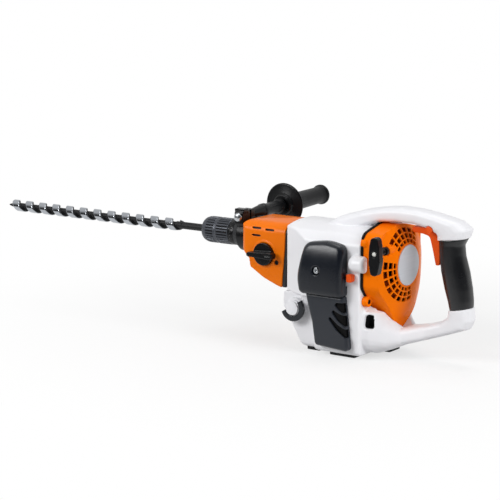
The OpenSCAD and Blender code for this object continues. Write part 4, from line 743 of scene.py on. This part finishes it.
def makeRope():
    form = bmesh.new()
    bmesh.ops.create_circle(form, cap_ends=True, segments=ropeLook["segments"], radius=ropeLook["radius"] * mm)
    bmesh.ops.transform(form, verts=form.verts, matrix=Matrix.Translation(
        ropePoint(ropeLook["inner"])) @ Matrix.Rotation(math.pi / 2, 4, "X"))
    rim = form.edges[:]
    for number in range(ropeLook["rings"]):
        drawn = bmesh.ops.extrude_edge_only(form, edges=rim)["geom"]
        rim = openEdges(drawn)
        bmesh.ops.translate(form, verts=drawnVerts(drawn),
                            vec=(0, (ropeLook["outer"] - ropeLook["inner"]) / ropeLook["rings"] * mm, 0))
    bmesh.ops.contextual_create(form, geom=rim)
    bmesh.ops.create_icosphere(form, subdivisions=3, radius=ropeLook["knot"] * mm,
                               matrix=Matrix.Translation(ropePoint(ropeLook["outer"])))
    bmesh.ops.recalc_face_normals(form, faces=form.faces)
    piece = keepForm("starterRope", form)
    scene.collection.objects.link(piece)
    piece.data.materials.append(finish["braidedRope"])
    for face in piece.data.polygons:
        face.use_smooth = True
    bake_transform(piece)
    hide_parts("starter_rope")


makeRope()

# Studio: pale floor that fades to white away from the object, soft lamps and a white surround
studio = {"floorHex": "F8F8F8", "bounceHex": "BEBEBE", "near": 0.15, "far": 0.9, "lift": 0.62, "ambient": 0.38,
          "darkSide": (0.45, -0.87, -0.35), "dim": 0.05, "bright": 0.8, "dimFrom": -0.2, "dimTo": 0.35,
          "paper": 3.0, "inFront": 0.55, "aim": (-0.1, 0, 0.12)}
form = bmesh.new()
bmesh.ops.create_grid(form, x_segments=1, y_segments=1, size=studio["paper"])
bmesh.ops.translate(form, verts=form.verts, vec=(0, studio["paper"] - studio["inFront"], 0))
floor = keepForm("floor", form)
scene.collection.objects.link(floor)
paper, tree = newMaterial("whitePaper")
place = addNode(tree, "ShaderNodeTexCoord").outputs["Object"]
away = addNode(tree, "ShaderNodeVectorMath", {"operation": "LENGTH"}, {0: place})
fade = addNode(tree, "ShaderNodeMapRange", {"interpolation_type": "SMOOTHSTEP"}, {
    "Value": away.outputs["Value"], "From Min": studio["near"], "From Max": studio["far"],
    "To Min": studio["lift"]})
seen = addNode(tree, "ShaderNodeLightPath")
bounced = addNode(tree, "ShaderNodeMath", {"operation": "MAXIMUM"}, {
    0: seen.outputs["Is Glossy Ray"], 1: seen.outputs["Is Transmission Ray"]})
looked = addNode(tree, "ShaderNodeMath", {"operation": "MAXIMUM"}, {
    0: bounced.outputs[0], 1: seen.outputs["Is Camera Ray"]})  # the eye, straight or in a mirror
direct = addNode(tree, "ShaderNodeMath", {"operation": "MULTIPLY"}, {
    0: fade.outputs[0], 1: looked.outputs[0]})
sheet = addNode(tree, "ShaderNodeMix", {"data_type": "RGBA"}, {
    0: looked.outputs[0], 6: hexColour(studio["bounceHex"]), 7: hexColour(studio["floorHex"])})
matte = addNode(tree, "ShaderNodeBsdfDiffuse", None, {"Color": sheet.outputs[2]})
glow = addNode(tree, "ShaderNodeEmission", None, {"Color": (1, 1, 1, 1), "Strength": 1.0})
blend = addNode(tree, "ShaderNodeMixShader", None, {0: direct.outputs[0], 1: matte.outputs[0], 2: glow.outputs[0]})
closeMaterial(tree, blend)
floor.data.materials.append(paper)

world = bpy.data.worlds.new("surround")
scene.world = world
world.use_nodes = True
tree = world.node_tree
tree.nodes.clear()
seen = addNode(tree, "ShaderNodeLightPath")
way = addNode(tree, "ShaderNodeTexCoord").outputs["Generated"]
front = addNode(tree, "ShaderNodeVectorMath", {"operation": "DOT_PRODUCT"}, {
    0: way, 1: studio["darkSide"]})
mirrored = addNode(tree, "ShaderNodeMapRange", {"interpolation_type": "SMOOTHSTEP"}, {  # the room in front is dim
    "Value": front.outputs["Value"], "From Min": studio["dimFrom"], "From Max": studio["dimTo"],
    "To Min": studio["bright"], "To Max": studio["dim"]})
bounced = addNode(tree, "ShaderNodeMath", {"operation": "MAXIMUM"}, {
    0: seen.outputs["Is Glossy Ray"], 1: seen.outputs["Is Transmission Ray"]})
soft = addNode(tree, "ShaderNodeMix", {"data_type": "FLOAT"}, {
    0: bounced.outputs[0], 2: studio["ambient"], 3: mirrored.outputs[0]})
level = addNode(tree, "ShaderNodeMix", {"data_type": "FLOAT"}, {
    0: seen.outputs["Is Camera Ray"], 2: soft.outputs[0], 3: 1.0})
back = addNode(tree, "ShaderNodeBackground", None, {"Color": (1, 1, 1, 1), "Strength": level.outputs[0]})
addNode(tree, "ShaderNodeOutputWorld", None, {"Surface": back.outputs[0]})

lamps = {
    "keyLamp": {"at": (-1.2, -2.1, 1.3), "watts": 38, "size": 1.1, "mirrored": True},
    "fillLamp": {"at": (2.3, -0.5, 0.95), "watts": 34, "size": 1.2, "mirrored": False},
    "topLamp": {"at": (-0.2, 0.4, 2.3), "watts": 10, "size": 1.1, "mirrored": True},
}
for name, lamp in lamps.items():
    light = bpy.data.lights.new(name, "AREA")
    light.energy = lamp["watts"]
    light.size = lamp["size"]
    holder = bpy.data.objects.new(name, light)
    scene.collection.objects.link(holder)
    holder.location = lamp["at"]
    holder.visible_glossy = lamp["mirrored"]
    holder.rotation_euler = (Vector(studio["aim"]) - holder.location).to_track_quat("-Z", "Y").to_euler()
print("stage lit")
